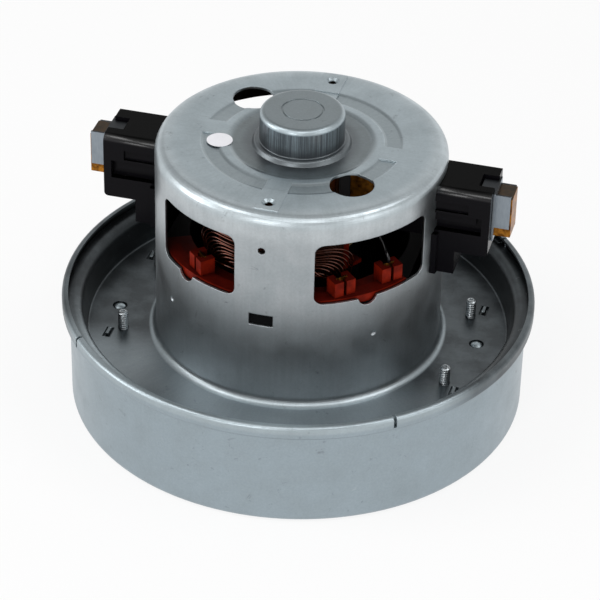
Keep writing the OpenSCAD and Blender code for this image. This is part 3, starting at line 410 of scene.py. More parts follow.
class Zone(NamedTuple):
    """A part of a zinc sheet with a tint of its own, which is dull or greasy zinc, painted shade or a
    painted highlight: its colour's name, its strength, its limits of radius and of height, its soft edge,
    how far forward it reaches before it fades, and the pattern that breaks it up. Lengths are in
    millimetres."""

    tint: str
    strength: float
    radii: tuple
    heights: tuple
    soft: float
    front: float = ALL_ROUND
    pattern: str = "cloud"


def zinc_sheet(name, zones, streaks):
    """Zinc-coated deep-drawn steel: satin, cool grey, with a faint cloudy coat, fine grit, small dark rubs,
    bright scuffs, draw marks that run along the pull at a share of streaks, and zones of dull or greasy
    zinc, of painted shade and of a painted highlight. The grit and the draw marks are drawn coarser than
    real ones, so that they show."""
    material, tree, shader, place = new_material(name, "zinc", 1.0, 0.36)
    radius, turn, height = cylinder_place(tree, place)
    depth = add(tree, "ShaderNodeSeparateXYZ", {0: place}).outputs[1]
    # How much the draw marks are squeezed round the axis, out from it and along it
    drawn_out = (0.04, 0.12, 0.05)
    pull = add(tree, "ShaderNodeCombineXYZ", {0: turn, 1: radius, 2: height}).outputs[0]
    pull = add(tree, "ShaderNodeVectorMath", {0: pull, 1: drawn_out}, operation="MULTIPLY").outputs[0]
    cloud, grit, rubs, draw = [add(tree, "ShaderNodeTexNoise", sockets).outputs[0] for sockets in (
        {"Vector": place, "Scale": per_metre(9), "Detail": 5.0, "Roughness": 0.6},
        {"Vector": place, "Scale": per_metre(0.6), "Detail": 2.0},
        {"Vector": place, "Scale": per_metre(3), "Detail": 7.0, "Roughness": 0.7, "Distortion": 0.6},
        {"Vector": pull, "Scale": per_metre(0.9), "Detail": 3.0})]
    # Each pattern with the share of a zone that is left where the pattern breaks it up most
    patterns = {"cloud": (cloud, 0.75), "draw": (draw, 0.35)}
    coat = "zinc"
    for zone in zones:
        zone_breakup, least = patterns[zone.pattern]
        share = within(tree, zone.strength, radius, *zone.radii, zone.soft)
        share = within(tree, share, height, *zone.heights, zone.soft)
        share = within(tree, share, depth, zone.front, FAR_BACK, FADE)
        thinned_share = add(tree, "ShaderNodeMath", {0: share, 1: least}, operation="MULTIPLY").outputs[0]
        share = add(tree, "ShaderNodeMapRange", {"Value": zone_breakup, "From Min": 0.35, "From Max": 0.6,
                                                 "To Min": thinned_share, "To Max": share}).outputs[0]
        coat = lay_over(tree, coat, zone.tint, share, (0, 1), (0, 1))
    coat = lay_over(tree, coat, "zinc_dark_rub_and_shade", rubs, (0.62, 0.72), (0.0, 0.45))
    coat = lay_over(tree, coat, "zinc_scuff_and_highlight", rubs, (0.26, 0.34), (0.3, 0.0))
    for pattern, share in ((cloud, 0.07), (grit, 0.04), (draw, streaks)):
        tone = add(tree, "ShaderNodeMapRange", {"Value": pattern, "From Min": 0.3, "From Max": 0.7,
                                                "To Min": 1 - share, "To Max": 1 + share}).outputs[0]
        coat = add(tree, "ShaderNodeVectorMath", {0: coat, 3: tone}, operation="SCALE").outputs[0]
    tree.links.new(coat, shader.inputs["Base Color"])
    shine = add(tree, "ShaderNodeMapRange", {"Value": cloud, "From Min": 0.3, "From Max": 0.7,
                                             "To Min": 0.42, "To Max": 0.32})
    tree.links.new(shine.outputs[0], shader.inputs["Roughness"])
    edge_r, grit_h = 0.3 * MM, 0.015 * MM
    cut_edges = add(tree, "ShaderNodeBevel", {"Radius": edge_r}, samples=4).outputs[0]
    relief = {"Height": grit, "Distance": grit_h, "Strength": 0.4, "Normal": cut_edges}
    tree.links.new(add(tree, "ShaderNodeBump", relief).outputs[0], shader.inputs["Normal"])
    return material


def case_zinc():
    """Motor case: a painted highlight on the wall near the plate, a dull greasy dish round the boss,
    streaked boss, painted shade in the ring groove, and painted shade in the trough, on the trough wall, on
    the ledge and inside."""
    plate = PLATE_Z / MM
    return zinc_sheet("deep-drawn zinc steel case", [
        Zone("zinc_plain", 0.95, (40, 41.5), (24, plate - 5), 3),
        # Painted highlight on the upper case wall, just under the plate
        Zone("zinc_scuff_and_highlight", 0.45, (39, 41.5), (plate - 5, plate - 0.6), 5),
        Zone("zinc_dull", 0.95, (12.6, 18.5), (plate - 1.5, plate + 1.3), 3),
        Zone("zinc_dark_rub_and_shade", 0.6, (12.6, 14.5), (plate - 1.5, plate + 1.3), 3),
        Zone("zinc_dark_rub_and_shade", 0.9, (11, 12.4), (plate + 1.2, plate + 8), 0.4, pattern="draw"),
        Zone("zinc_dull", 0.75, (0, 10.5), (plate + 9, plate + 11), 1),
        # Painted shade in the ring groove
        Zone("zinc_dull", 0.4, (23, 27.8), (plate - 1.2, plate - 0.2), 0.2),
        # Painted shade from here on: the trough floor all round, the trough at the back, the ledge at the
        # back and sides, the case's inside, the trough's outer wall and the ledge
        Zone("zinc_dark_rub_and_shade", 0.4, (43, 66), (19, 30), 0.5),
        Zone("zinc_shade", 0.88, (43, 66), (19, 33), 1, -14),
        Zone("zinc_shade", 0.8, (60, 68), (25, 32), 1, -26),
        Zone("zinc_shade", 0.9, (20, 39.95), (23, plate - 2), 0.2),
        Zone("zinc_shade", 0.9, (60.6, 62.6), (21.9, 29.6), 0.8),
        Zone("zinc_shade", 0.45, (64.4, 68), (27, 32), 0.8),
    ], 0.03)


def cover_zinc():
    """Fan cover: even outside, with painted shade in the corner under the lip and in it, and round the lip's
    back and sides.
    """
    return zinc_sheet("deep-drawn zinc steel cover", [
        Zone("zinc_can", 1.0, (64.6, 70), (-1, 31), 1),
        # Painted shade: a line under the lip, inside the lip, and round the lip's back and sides
        Zone("zinc_shade", 0.7, (65.4, 66.6), (29, 29.5), 0.25),
        Zone("zinc_shade", 0.85, (60, 66.6), (30.4, 32.7), 0.2),
        Zone("zinc_shade", 0.85, (60, 69), (29.6, 35), 0.4, -28),
    ], 0.008)


def bracket_zinc():
    """Bearing bracket: zinc sheet, with painted shade below the flange and on the tabs' ends."""
    return zinc_sheet("pressed zinc steel bracket", [
        # Painted shade below the flange and on the tabs' ends, where they stand in the trough
        Zone("zinc_shade", 0.9, (5, 70), (10, 21.2), 0.2),
        Zone("zinc_shade", 0.7, (54, 60), (21.2, 26), 0.2),
    ], 0.02)


def black_plastic():
    """Glass-filled black moulding: a fine grain, drawn coarse enough to show, dark grey on its sides, with
    painted shade that makes it black on top, and a painted sheen: the most reflection on the round edges
    between them."""
    material, tree, shader, coat = grained("moulded black thermoset", "black", "#0f0e11", 0.0,
                                           (0.18, 0.28), 0.35, 3.0, 0.006, 0.4)
    # Painted shade: the upward faces are laid over with black
    tree.links.new(painted_shade_on_top(tree, coat, "#020202", 1.0), shader.inputs["Base Color"])
    # Painted sheen: reflection is strongest on faces half-way up and weakest on top and on the sides
    lift = upward(tree)
    edge = {"Value": lift, "From Min": 0.15, "From Max": 0.6, "To Min": 0.06, "To Max": 0.6}
    shine = add(tree, "ShaderNodeMapRange", edge).outputs[0]
    top = {"Value": lift, "From Min": 0.85, "From Max": 0.97, "To Min": shine, "To Max": 0.03}
    shine = add(tree, "ShaderNodeMapRange", top).outputs[0]
    tree.links.new(shine, shader.inputs["Specular IOR Level"])
    return material


def red_plastic():
    """Brick-red moulded polyester: satin, with darker patches where varnish ran, and painted shade on its
    upper faces and in its corners."""
    material, tree, shader, place = new_material("moulded red polyester", "red", 0.0, 0.42, **{
        "Specular IOR Level": 0.06})
    varnish = add(tree, "ShaderNodeTexNoise", {"Vector": place, "Scale": per_metre(3),
                                               "Detail": 4.0}).outputs[0]
    # Painted shade in corners and pockets, from ambient occlusion over 7 mm
    corners = add(tree, "ShaderNodeAmbientOcclusion", {"Distance": 7 * MM}, samples=4).outputs["AO"]
    coat = lay_over(tree, "red", "#4a0c05", varnish, (0.4, 0.65), (0.0, 0.7))
    # Painted shade on the upper faces
    coat = painted_shade_on_top(tree, coat, "#2e0503", 0.8)
    coat = lay_over(tree, coat, "#0a0202", corners, (0.2, 0.8), (0.9, 0.0))
    tree.links.new(coat, shader.inputs["Base Color"])
    return material


def copper_wire():
    """Enamelled copper: brown metal under clear varnish, darkened as painted shade of the motor's inside,
    with a thin glint along each turn, and darker in patches along the wire."""
    varnish = {"Coat Weight": 0.3, "Coat Roughness": 0.08, "Coat IOR": 1.6}
    return grained("enamelled copper wire", "#1c0904", "copper", 0.9, (0.2, 0.3), 2.5, 3.0,
                   viewport="copper", **varnish)[0]


def varnished_turns():
    """Packed copper turns under brown varnish: dark, partly as painted shade of the motor's inside, with a
    dull warm glint on each ridge.
    """
    return grained("varnished copper turns", "#1c0b05", "#3a1a0d", 0.85, (0.36, 0.5), 2.5, 3.0,
                   viewport="#2c130a")[0]


def metal_finish(name, tint, other, rough, mm, stretch, height=0.006, top_shade=0.0):
    """A plain metal with a fine lay: a grain drawn out one way, its lines this many millimetres apart. The
    top shade is the share of painted shade on its upper faces."""
    material, tree, shader, coat = grained(name, tint, other, 1.0, rough, mm, 3.0, height, stretch=stretch)
    # Painted shade on the upper faces, at the share of top shade
    if top_shade:
        tree.links.new(painted_shade_on_top(tree, coat, "#101011", top_shade), shader.inputs["Base Color"])
    return material


def brass():
    """Drawn brass: warm metal with dark stains about 1.6 mm across, and painted shade on its upper faces."""
    material, tree, shader, place = new_material("drawn brass", "brass", 1.0, 0.35)
    stains = add(tree, "ShaderNodeTexNoise", {"Vector": place, "Scale": per_metre(1.6),
                                              "Detail": 4.0}).outputs[0]
    coat = lay_over(tree, "brass", "#4a2a10", stains, (0.3, 0.62), (1.0, 0.0))
    # Painted shade on the upper faces
    tree.links.new(painted_shade_on_top(tree, coat, "#24251f", 0.9), shader.inputs["Base Color"])
    return material


def electrical_steel():
    """Stacked laminations of 0.5 mm: very dark grey edges in fine level lines, darkened as painted shade of
    the motor's inside.
    """
    material, tree, shader, place = new_material("stacked electrical steel", "#0d0e0f", 0.0, 0.6,
                                                 **{"Specular IOR Level": 0.04})
    stack = {"Vector": place, "Scale": WAVE * per_metre(0.5), "Distortion": 0.4, "Detail": 1.0,
             "Detail Scale": 4.0}
    sheets = add(tree, "ShaderNodeTexWave", stack, wave_type="BANDS", bands_direction="Z").outputs["Fac"]
    vary(tree, shader, sheets, "#060607", "#0e0f10", (0.55, 0.66), 0.03, 0.6)
    return material


def carbon():
    """Pressed carbon: matt black with a metallic glint in its grains, which are drawn coarse enough to
    show."""
    return grained("pressed carbon", "#1a1a1b", "#39393b", 0.2, (0.5, 0.7), 0.25, 2.0, 0.01,
                   viewport="#232325")[0]


def plain_plastic(name, tint, other, rough, ior=1.5):
    """A moulded or pressed insulator with a soft cloudy tone, its clouds 2 mm across."""
    return grained(name, tint, other, 0.0, rough, 2, 4.0, 0.01, 0.4, IOR=ior)[0]


# Plain metals: name, tint, other tint, roughness, spacing of the lay in mm and its stretch, and for some the
# relief in mm and the share of painted shade on upper faces. The lay is drawn coarser than a real one, so
# that it shows
METALS = {
    # Grey-white, soft shine, with rolled lines, and painted shade on its upper faces
    "tinned_brass": ("tinned brass strip", "tin", "#7d858d", (0.3, 0.42), 0.6, (1, 1, 0.25), 0.006, 0.9),
    # Bright zinc-plated steel
    "screw_steel": ("plated screw steel", "steel", "#8d9396", (0.22, 0.36), 0.6, (1, 1, 1)),
    # Ground steel with rings round the axis
    "shaft_steel": ("ground steel", "steel", "#9ba1a5", (0.2, 0.3), 0.4, (0.1, 0.1, 1)),
    # Polished steel with a very fine lay
    "bearing_steel": ("polished bearing steel", "steel", "#a6abaf", (0.12, 0.2), 0.5, (0.2, 0.2, 1), 0.002),
    # Bright drawn wire
    "spring_steel": ("drawn spring steel", "#8f9397", "#6f7377", (0.25, 0.35), 0.5, (0.3, 1, 1)),
    # Pressed brass sheet, even all over
    "cage_brass": ("pressed brass cage", "#b9934f", "#8f6d35", (0.3, 0.4), 0.5, (1, 1, 1)),
    # Turned copper bars, browned by the brushes, with lines round the axis
    "commutator_copper": ("turned commutator copper", "#b5713f", "#6e4227", (0.28, 0.4), 0.3,
                          (0.08, 0.08, 1)),
    # Rolled sheet with a straight lay
    "impeller_aluminium": ("rolled aluminium", "#c2c6c9", "#a5aaae", (0.3, 0.42), 0.5, (0.08, 1, 1)),
}
# Plain insulators: name, tint, other tint, roughness, and an IOR that isn't a plastic's usual one
PLASTICS = {
    # Off-white moulding
    "diffuser_plastic": ("moulded white polyamide", "#d9d8d0", "#c7c6bd", (0.42, 0.52)),
    # Tan pressed board
    "fibre": ("pressed fibre", "#b9a176", "#9c845b", (0.65, 0.8)),
    # Brown moulding with a soft shine
    "phenolic": ("brown phenolic", "#3b2a22", "#2a1d18", (0.3, 0.4), 1.6),
    # White paper with a faint fibre
    "sticker_paper": ("matt white paper", "#e9e9ec", "#dcdce2", (0.55, 0.65)),
}
FINISHES = {
    **{kind: partial(metal_finish, *row) for kind, row in METALS.items()},
    **{kind: partial(plain_plastic, *row) for kind, row in PLASTICS.items()},
    "zinc_steel": bracket_zinc, "motor_case": case_zinc, "fan_cover": cover_zinc,
    "black_plastic": black_plastic, "red_plastic": red_plastic, "copper_wire": copper_wire,
    "varnished_turns": varnished_turns, "brass": brass, "electrical_steel": electrical_steel,
    "carbon": carbon,
}
# Nodes that wear a finish of their own, and not their slot's
OWN_FINISHES = ("motor_case", "fan_cover")
MADE = {}


def finish(kind):
    """Make a finish once, however many pieces wear it."""
    if kind not in MADE:
        MADE[kind] = FINISHES[kind]()
    return MADE[kind]


def coil_place(share, reach, high, low, round_top=5 * MM, round_low=2.5 * MM):
    """A turn on the unrolled coil, from 0 at the top round to the right and back to 1. Each half has five
    equal shares: top run, top corner, leg, low corner and low run. Returns the distance along the slots'
    arc and the height."""
    half = 1 - np.abs(2 * share - 1)
    step = np.clip(np.floor(half * 5), 0, 4)
    q = half * 5 - step
    quarter = q * np.pi / 2
    along = np.select([step == i for i in range(5)], [
        (reach - round_top) * q, reach - round_top * (1 - np.sin(quarter)), reach + 0 * q,
        reach - round_low * (1 - np.cos(quarter)), (reach - round_low) * (1 - q)])
    height = np.select([step == i for i in range(5)], [
        high + 0 * q, high - round_top * (1 - np.cos(quarter)),
        high - round_top + (low + round_low - high + round_top) * q,
        low + round_low * (1 - np.sin(quarter)), low + 0 * q])
    return np.where(share < 0.5, along, -along), height


def above_core(height, start, rise):
    """0 up to a start over the core's top, then a smooth rise to 1, both in millimetres."""
    return smooth((height - STATOR_TOP - start * MM) / (rise * MM))


def coil_radius(height, sizes):
    """Distance of the coil's outer layer from the axis: close in the slots, wide above the core."""
    return sizes.slot_r + (sizes.face_r - sizes.slot_r) * above_core(height, 1.4, 4)


def coil_route(sizes):
    """One coil's wire from fork to fork: its turns grow steadily outwards, and their top runs waver by sines
    of unequal length."""
    per_turn = 80
    share = np.arange(sizes.turns * per_turn + 1) / per_turn
    grown = share / sizes.turns
    along, height = coil_place(share % 1, sizes.start + sizes.spread * grown,
                               sizes.top_low + sizes.top_spread * grown,
                               sizes.low_high - sizes.spread * grown)
    loose = above_core(height, 3, 3) * sizes.waver
    height = height + loose * (np.sin(5.17 * share + 1) + 0.6 * np.sin(13.9 * share))
    radius = coil_radius(height, sizes) + loose * (np.sin(4.3 * share) + 0.5 * np.sin(11.3 * share + 2))
    turns = polar(radius, along / sizes.slot_r, height)
    out_r = sizes.face_r + sizes.wire / 2 + 1 * MM
    near_r = sizes.face_r + 0.7 * MM
    low, top = sizes.top_low, sizes.top_low + sizes.top_spread + 0.6 * MM
    clip_z = STATOR_TOP + 4.2 * MM
    first = [fork_stop(sizes, -1, 1, inward * MM, clip_z) for inward in (0.3, 2.5)]
    second = [fork_stop(sizes, 1, -1, inward * MM, clip_z) for inward in (2.5, 0.3)]
    lead_in = lead([*first, (out_r, -28, clip_z + 0.4 * MM), (out_r, -22, low + 0.3 * MM),
                    (out_r, -15, low + 0.3 * MM), (near_r, -8, low + 0.1 * MM)])
    lead_out = lead([(near_r, 8, top - 0.8 * MM), (out_r, 15, top - 2.5 * MM), (out_r, 22, top - 7.2 * MM),
                     (out_r, 28, clip_z + 0.8 * MM), *second])
    return np.vstack([lead_in, turns, lead_out])


def fork_stop(sizes, face, side, inward, height):
    """A lead's stop at a fork, as radius, angle in degrees and height: this far in from its blade. The forks
    face one way or the other, and stand on either side of their pair's middle."""
    out = sizes.fork_out - inward
    turn = face * sizes.fork_turn + side * math.atan2(sizes.fork_side, out)
    return math.hypot(out, sizes.fork_side), math.degrees(turn), height


def lead(stops):
    """A smooth lead through stops of radius, angle in degrees and height."""
    return smooth_route(stop_points(stops))


def stop_points(stops):
    """Points at stops of radius, angle in degrees and height."""
    radius, turn, height = np.array(stops).T
    return polar(radius, np.radians(turn), height)


def brush_route(sizes, z):
    """The sleeved lead from the blade of the right pair's second fork, up and in to the side of the right
    brush tube."""
    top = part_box("coil_terminals")[1].z + 0.05 * MM
    rise = stop_points([fork_stop(sizes, 1, 1, inward * MM, top + up * MM)
                        for inward, up in ((0, 0), (0, 1), (1.2, 2.4))])
    over = np.array([(27, -15.5, -5.5), (23, -12, -4.4), (19.4, -8.5, -3.6), (18.4, -5.55, -3.2),
                     (18.4, -3.75, -3.2)]) * MM
    return smooth_route(np.vstack([rise, over + np.array([0, 0, z])]))


def packed_turns(sizes):
    """The packed inner turns as one bundle: an outline with a ridge for each wire, carried round the saddle.
    Its inner and outer edges are two turns of the coil, and above the core its face swells out to the wires
    before it. Along the outline, u goes from the inner edge to the outer one, and h from 1 on the face to
    -1 on the back."""
    stations, face, end, rear = 240, 90, 6, 20
    share = np.arange(stations) / stations
    inside = coil_place(share, sizes.start - 0.2 * MM, STATOR_TOP + 2 * MM, sizes.low_high + 0.2 * MM)
    outside = coil_place(share, sizes.start + sizes.spread - 0.3 * MM,
                         sizes.top_low + sizes.top_spread + 0.4 * MM,
                         sizes.low_high - sizes.spread + 0.5 * MM)
    u = np.concatenate([np.linspace(0, 1, face), np.ones(end), np.linspace(1, 0, rear), np.zeros(end)])
    fall = np.linspace(1, -1, end + 2)[1:-1]
    h = np.concatenate([np.ones(face), fall, -np.ones(rear), -fall])
    along = inside[0][:, None] * (1 - u) + outside[0][:, None] * u
    height = inside[1][:, None] * (1 - u) + outside[1][:, None] * u
    width = np.hypot(outside[0] - inside[0], outside[1] - inside[1])[:, None]
    ridge_h = 0.11 * MM
    ridge = ridge_h * np.abs(np.sin(np.pi * u * width / sizes.strand)) - ridge_h
    back = sizes.slot_r - 3.1 * MM
    swell = above_core(height, 2, 3) * smooth((10.5 * MM - np.abs(along)) / (2 * MM))
    front = sizes.slot_r - 0.85 * MM + swell * (sizes.face_r - sizes.slot_r - 1.1 * MM)
    edge = 0.35 * MM * ((u < 0.02) | (u > 0.98))
    radius = np.where(h > 0, front * h + back * (1 - h) + ridge - edge,
                      back * -h + (back + 0.3 * MM) * (1 + h))
    return closed_patch(polar(radius, along / sizes.slot_r, height), wrap_rows=True)


def end_turns(profile, lean):
    """An armature's end turns: a closed profile of radius and height spun about the axis, pressed into
    twelve bundles of thirteen wires that lean as they run from slot to slot."""
    bundles, wires, per_side = 12, 13, 14
    spin = even_turns(720)[:, None]
    around = np.concatenate([np.linspace(start, stop, per_side, endpoint=False)
                             for start, stop in zip(profile, np.roll(profile, -1, 0))])
    outward = unit(around - around.mean(0))
    run = np.arange(len(around))[None, :] / len(around)
    phase = spin + lean * np.sin(2 * np.pi * run)
    bundle_h, wire_h = 0.45 * MM, 0.12 * MM
    press = (bundle_h * np.abs(np.sin(bundles / 2 * phase)) ** 0.7
             + wire_h * np.abs(np.sin(bundles * wires / 2 * phase)))
    shrink = press - bundle_h - wire_h
    radius = around[None, :, 0] + shrink * outward[None, :, 0]
    height = around[None, :, 1] + shrink * outward[None, :, 1]
    return closed_patch(polar(radius, spin, height), wrap_rows=True)


def screw(sizes, low, high):
    """A screw up the Z axis as rings: cross recess, head, thread that climbs a pitch a turn, dimpled tip."""
    turn = even_turns(48)[None, :]
    c, s = np.abs(np.cos(turn)) + 1e-9, np.abs(np.sin(turn)) + 1e-9
    # Half length and half width of the recess's arms, and height of the tapered tip
    long, wide, taper = 1.6 * MM, 0.32 * MM, 0.5 * MM
    cross = np.maximum(np.minimum(long / c, wide / s), np.minimum(wide / c, long / s))
    r, h = sizes.head_r, sizes.head_h
    even = np.ones_like(turn)
    neck = low + h
    head = [(0.3 * cross, low + 0.5 * h), (0.9 * cross, low + 0.5 * h), (cross, low),
            (even * (r - 0.4 * MM), low), (even * (r - 0.1 * MM), low + 0.12 * MM),
            (even * r, low + 0.4 * MM), (even * r, neck - 0.2 * MM), (even * (r - 0.2 * MM), neck)]
    z = np.arange(neck, high - 0.02 * MM, sizes.pitch / 10)[:, None]
    wave = np.abs(2 * ((z / sizes.pitch - turn / (2 * np.pi)) % 1) - 1)
    slim = 0.45 * MM * np.clip((z - high + taper) / taper, 0, 1)
    thread = sizes.radius - sizes.depth * wave * smooth((z - neck) / (1 * MM)) - slim
    flat = sizes.radius - 0.75 * MM
    end = [(even * flat, high), (even * (flat - 0.2 * MM), high),
           (even * (flat - 0.3 * MM), high - 0.3 * MM), (even * 0.1 * MM, high - 0.35 * MM)]
    rings = [np.vstack([ring for ring, _ in part]) for part in (head, end)]
    radii = np.concatenate([rings[0], thread, rings[1]])
    heights = np.concatenate([[at for _, at in head], z[:, 0], [at for _, at in end]])
    return np.stack([radii * np.cos(turn), radii * np.sin(turn), heights[:, None] + 0 * radii], -1)


def spring_form(near, far, radius, z, sizes):
    """A brush spring along X, from its brush to its tube's end: a helix of steady radius whose turns lie
    wider apart in the middle."""
    per_turn, crowding = 24, 0.055
    steps = sizes.spring_turns * per_turn
    share = np.arange(int(steps) + 1)[:, None] / steps
    crowd = share + crowding * np.sin(4 * np.pi * share) / 2 - crowding * np.sin(2 * np.pi * share)
    turn = 2 * np.pi * sizes.spring_turns * share
    half = math.copysign(sizes.spring_wire / 2, far - near)
    x = near + half + (far - near - 2 * half) * crowd
    helix = np.hstack([x, radius * np.sin(turn), z + radius * np.cos(turn)])
    out = np.hstack([0 * x + 0.01, np.sin(turn), np.cos(turn)])
    return sweep(helix, out, round_outline(sizes.spring_wire / 2, 8))


def pigtail_form(near, far, z, sizes):
    """A pigtail along X: a rope of five strands wound about it, in three slight bows to the sides."""
    span = np.linspace(0, 1, 90)[:, None]
    bow = 0.45 * MM * np.sin(3 * np.pi * span)
    rope = np.hstack([near + (far - near) * span, bow, z + 0 * span])
    spin = even_turns(30)[None, :]
    thick = sizes.pigtail / 2 * (0.86 + 0.14 * np.abs(np.cos(2.5 * spin)))
    spin = spin + 9 * span
    strands = np.stack([thick * np.cos(spin), thick * np.sin(spin)], -1)
    return sweep(rope, np.array([[0.0, 0.0, 1.0]]), strands)


class MOTOR_OT_finishes(bpy.types.Operator):
    """Give every CAD node its finish, and soften the edges of the moulded and stamped ones"""

    bl_idname = "motor_unit.finishes"
    bl_label = "Finish the solids"

    # Distance in mm within which corners join, angle in degrees from which an edge is sharp, and the width
    # in mm that each node's sharp edges are rounded by
    joined, sharp = 0.002, 35
    soft_edges = {"right_brush_holder": 0.45, "left_brush_holder": 0.45, "right_brush_terminal": 0.08,
                  "left_brush_terminal": 0.08, "right_brush_tube": 0.12, "left_brush_tube": 0.12,
                  "coil_terminals": 0.08}

    def execute(self, context):
        for name, node in frame["nodes"].items():
            node.data.materials.clear()
            node.data.materials.append(finish(name if name in OWN_FINISHES else SLOT_OF[name]))
        for name, mm in self.soft_edges.items():
            node = frame["nodes"][name]
            weld = node.modifiers.new("Join triangles", "WELD")
            weld.merge_threshold = self.joined * MM
            soften = node.modifiers.new("Soft edges", "BEVEL")
            soften.width = mm * MM
            soften.segments = 2
            soften.limit_method = "ANGLE"
            soften.angle_limit = math.radians(self.sharp)
            soften.harden_normals = True
        return {"FINISHED"}


class MOTOR_OT_field_coils(bpy.types.Operator):
    """Wind both field coils and their packed inner turns"""

    bl_idname = "motor_unit.field_coils"
    bl_label = "Field coils"

    def execute(self, context):
        sizes = context.scene.motor_coils
        route = coil_route(sizes)
        up = polar(1.0, np.arctan2(route[:, 0], -route[:, 1]), 0.2)
        wire = sweep(route, up, round_outline(sizes.wire / 2, 8))
        bundle = packed_turns(sizes)
        for side, turned in (("front", np.asarray), ("rear", half_turned)):
            for form, what, kind in ((wire, "wire", "copper_wire"), (bundle, "core", "varnished_turns")):
                piece(f"{side}_field_coil_{what}", [(turned(form[0]), form[1])], finish(kind),
                      stands_for=[f"{side}_coil_{what}"])
        return {"FINISHED"}


class MOTOR_OT_armature(bpy.types.Operator):
    """Lay the armature's end turns above and below its core"""

    bl_idname = "motor_unit.armature"
    bl_label = "Armature end turns"

    def execute(self, context):
        inner, slope = 7 * MM, 1.4 * MM
        for place, lean in (("upper", 0.5), ("lower", -0.4)):
            node = f"{place}_armature_winding"
            low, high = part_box(node)
            wide = high.x
            near, far = (low.z, high.z) if place == "upper" else (high.z, low.z)
            step = math.copysign(1 * MM, far - near)
            shoulder = 13.5 * MM if place == "upper" else wide - slope
            profile = np.array([(inner, near), (wide - slope, near), (wide, near + step),
                                (wide, far - 3 * step), (wide - slope, far - 1.2 * step), (shoulder, far),
                                (inner, far)])
            piece(f"{place}_end_turns", [end_turns(profile, lean)], finish("copper_wire"), body="rotor",
                  stands_for=[node])
        return {"FINISHED"}


class MOTOR_OT_brush_gear(bpy.types.Operator):
    """Coil the brush springs, strand the pigtails and run the brush leads"""

    bl_idname = "motor_unit.brush_gear"
    bl_label = "Brush springs, pigtails and leads"

    def execute(self, context):
        sizes = context.scene.motor_brushes
        for side, sign in (("right", 1), ("left", -1)):
            low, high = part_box(f"{side}_brush_spring")
            near, far = (low.x, high.x) if sign > 0 else (high.x, low.x)
            z = (low.z + high.z) / 2
            helix = spring_form(near, far, high.y - sizes.spring_wire / 2, z, sizes)
            spring = piece(f"{side}_brush_spring_wire", [helix], finish("spring_steel"),
                           stands_for=[f"{side}_brush_spring"])
            rope = pigtail_form(near, far, z, sizes)
            pigtail = piece(f"{side}_brush_pigtail_rope", [rope], finish("copper_wire"),
                            stands_for=[f"{side}_brush_pigtail"])
            for soft in (spring, pigtail):
                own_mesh(soft)
            route = brush_route(context.scene.motor_coils, z)
            path = route if sign > 0 else half_turned(route)
            aside = np.array([[0.3 * sign, 0.5 * sign, 1.0]])
            sleeve = sweep(path, aside, round_outline(sizes.lead / 2, 10))
            piece(f"{side}_brush_lead_sleeve", [sleeve], finish("black_plastic"),
                  stands_for=[f"{side}_brush_lead"])
        return {"FINISHED"}


class MOTOR_OT_screws(bpy.types.Operator):
    """Cut the threads of the four screws that stand up in the trough"""

    bl_idname = "motor_unit.screws"
    bl_label = "Threaded screws"

    def execute(self, context):
        sizes = context.scene.motor_screws
        low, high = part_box("diffuser_screws")
        rings = screw(sizes, low.z, high.z)
        turns = [sizes.half_angle * s + base for base in (0, math.pi) for s in (-1, 1)]
        patches = [closed_patch(rings + sizes.ring * np.array([math.cos(a), math.sin(a), 0])) for a in turns]
        piece("trough_screws", patches, finish("screw_steel"),
              stands_for=["diffuser_screws"], crease=55)
        return {"FINISHED"}


class MOTOR_OT_sticker(bpy.types.Operator):
    """Lay the blank paper dot on the top plate"""

    bl_idname = "motor_unit.sticker"
    bl_label = "Blank dot"

    def execute(self, context):
        sizes = context.scene.motor_sticker
        rings, gap, thick = 16, 0.02 * MM, 0.08 * MM
        outward = np.linspace(0.02, 1, rings)
        out = np.concatenate([outward, outward[::-1]])[:, None] * sizes.diameter / 2
        lift = np.repeat([gap, gap + thick], rings)[:, None]
        turn = even_turns(64)[None, :]
        centre = polar(sizes.ring, sizes.turn, 0.0)
        x, y = centre[0] + out * np.cos(turn), centre[1] + out * np.sin(turn)
        dot = np.stack([x, y, np.broadcast_to(PLATE_Z + lift, x.shape)], -1)
        piece("blank_dot", [closed_patch(dot)], finish("sticker_paper"))
        return {"FINISHED"}


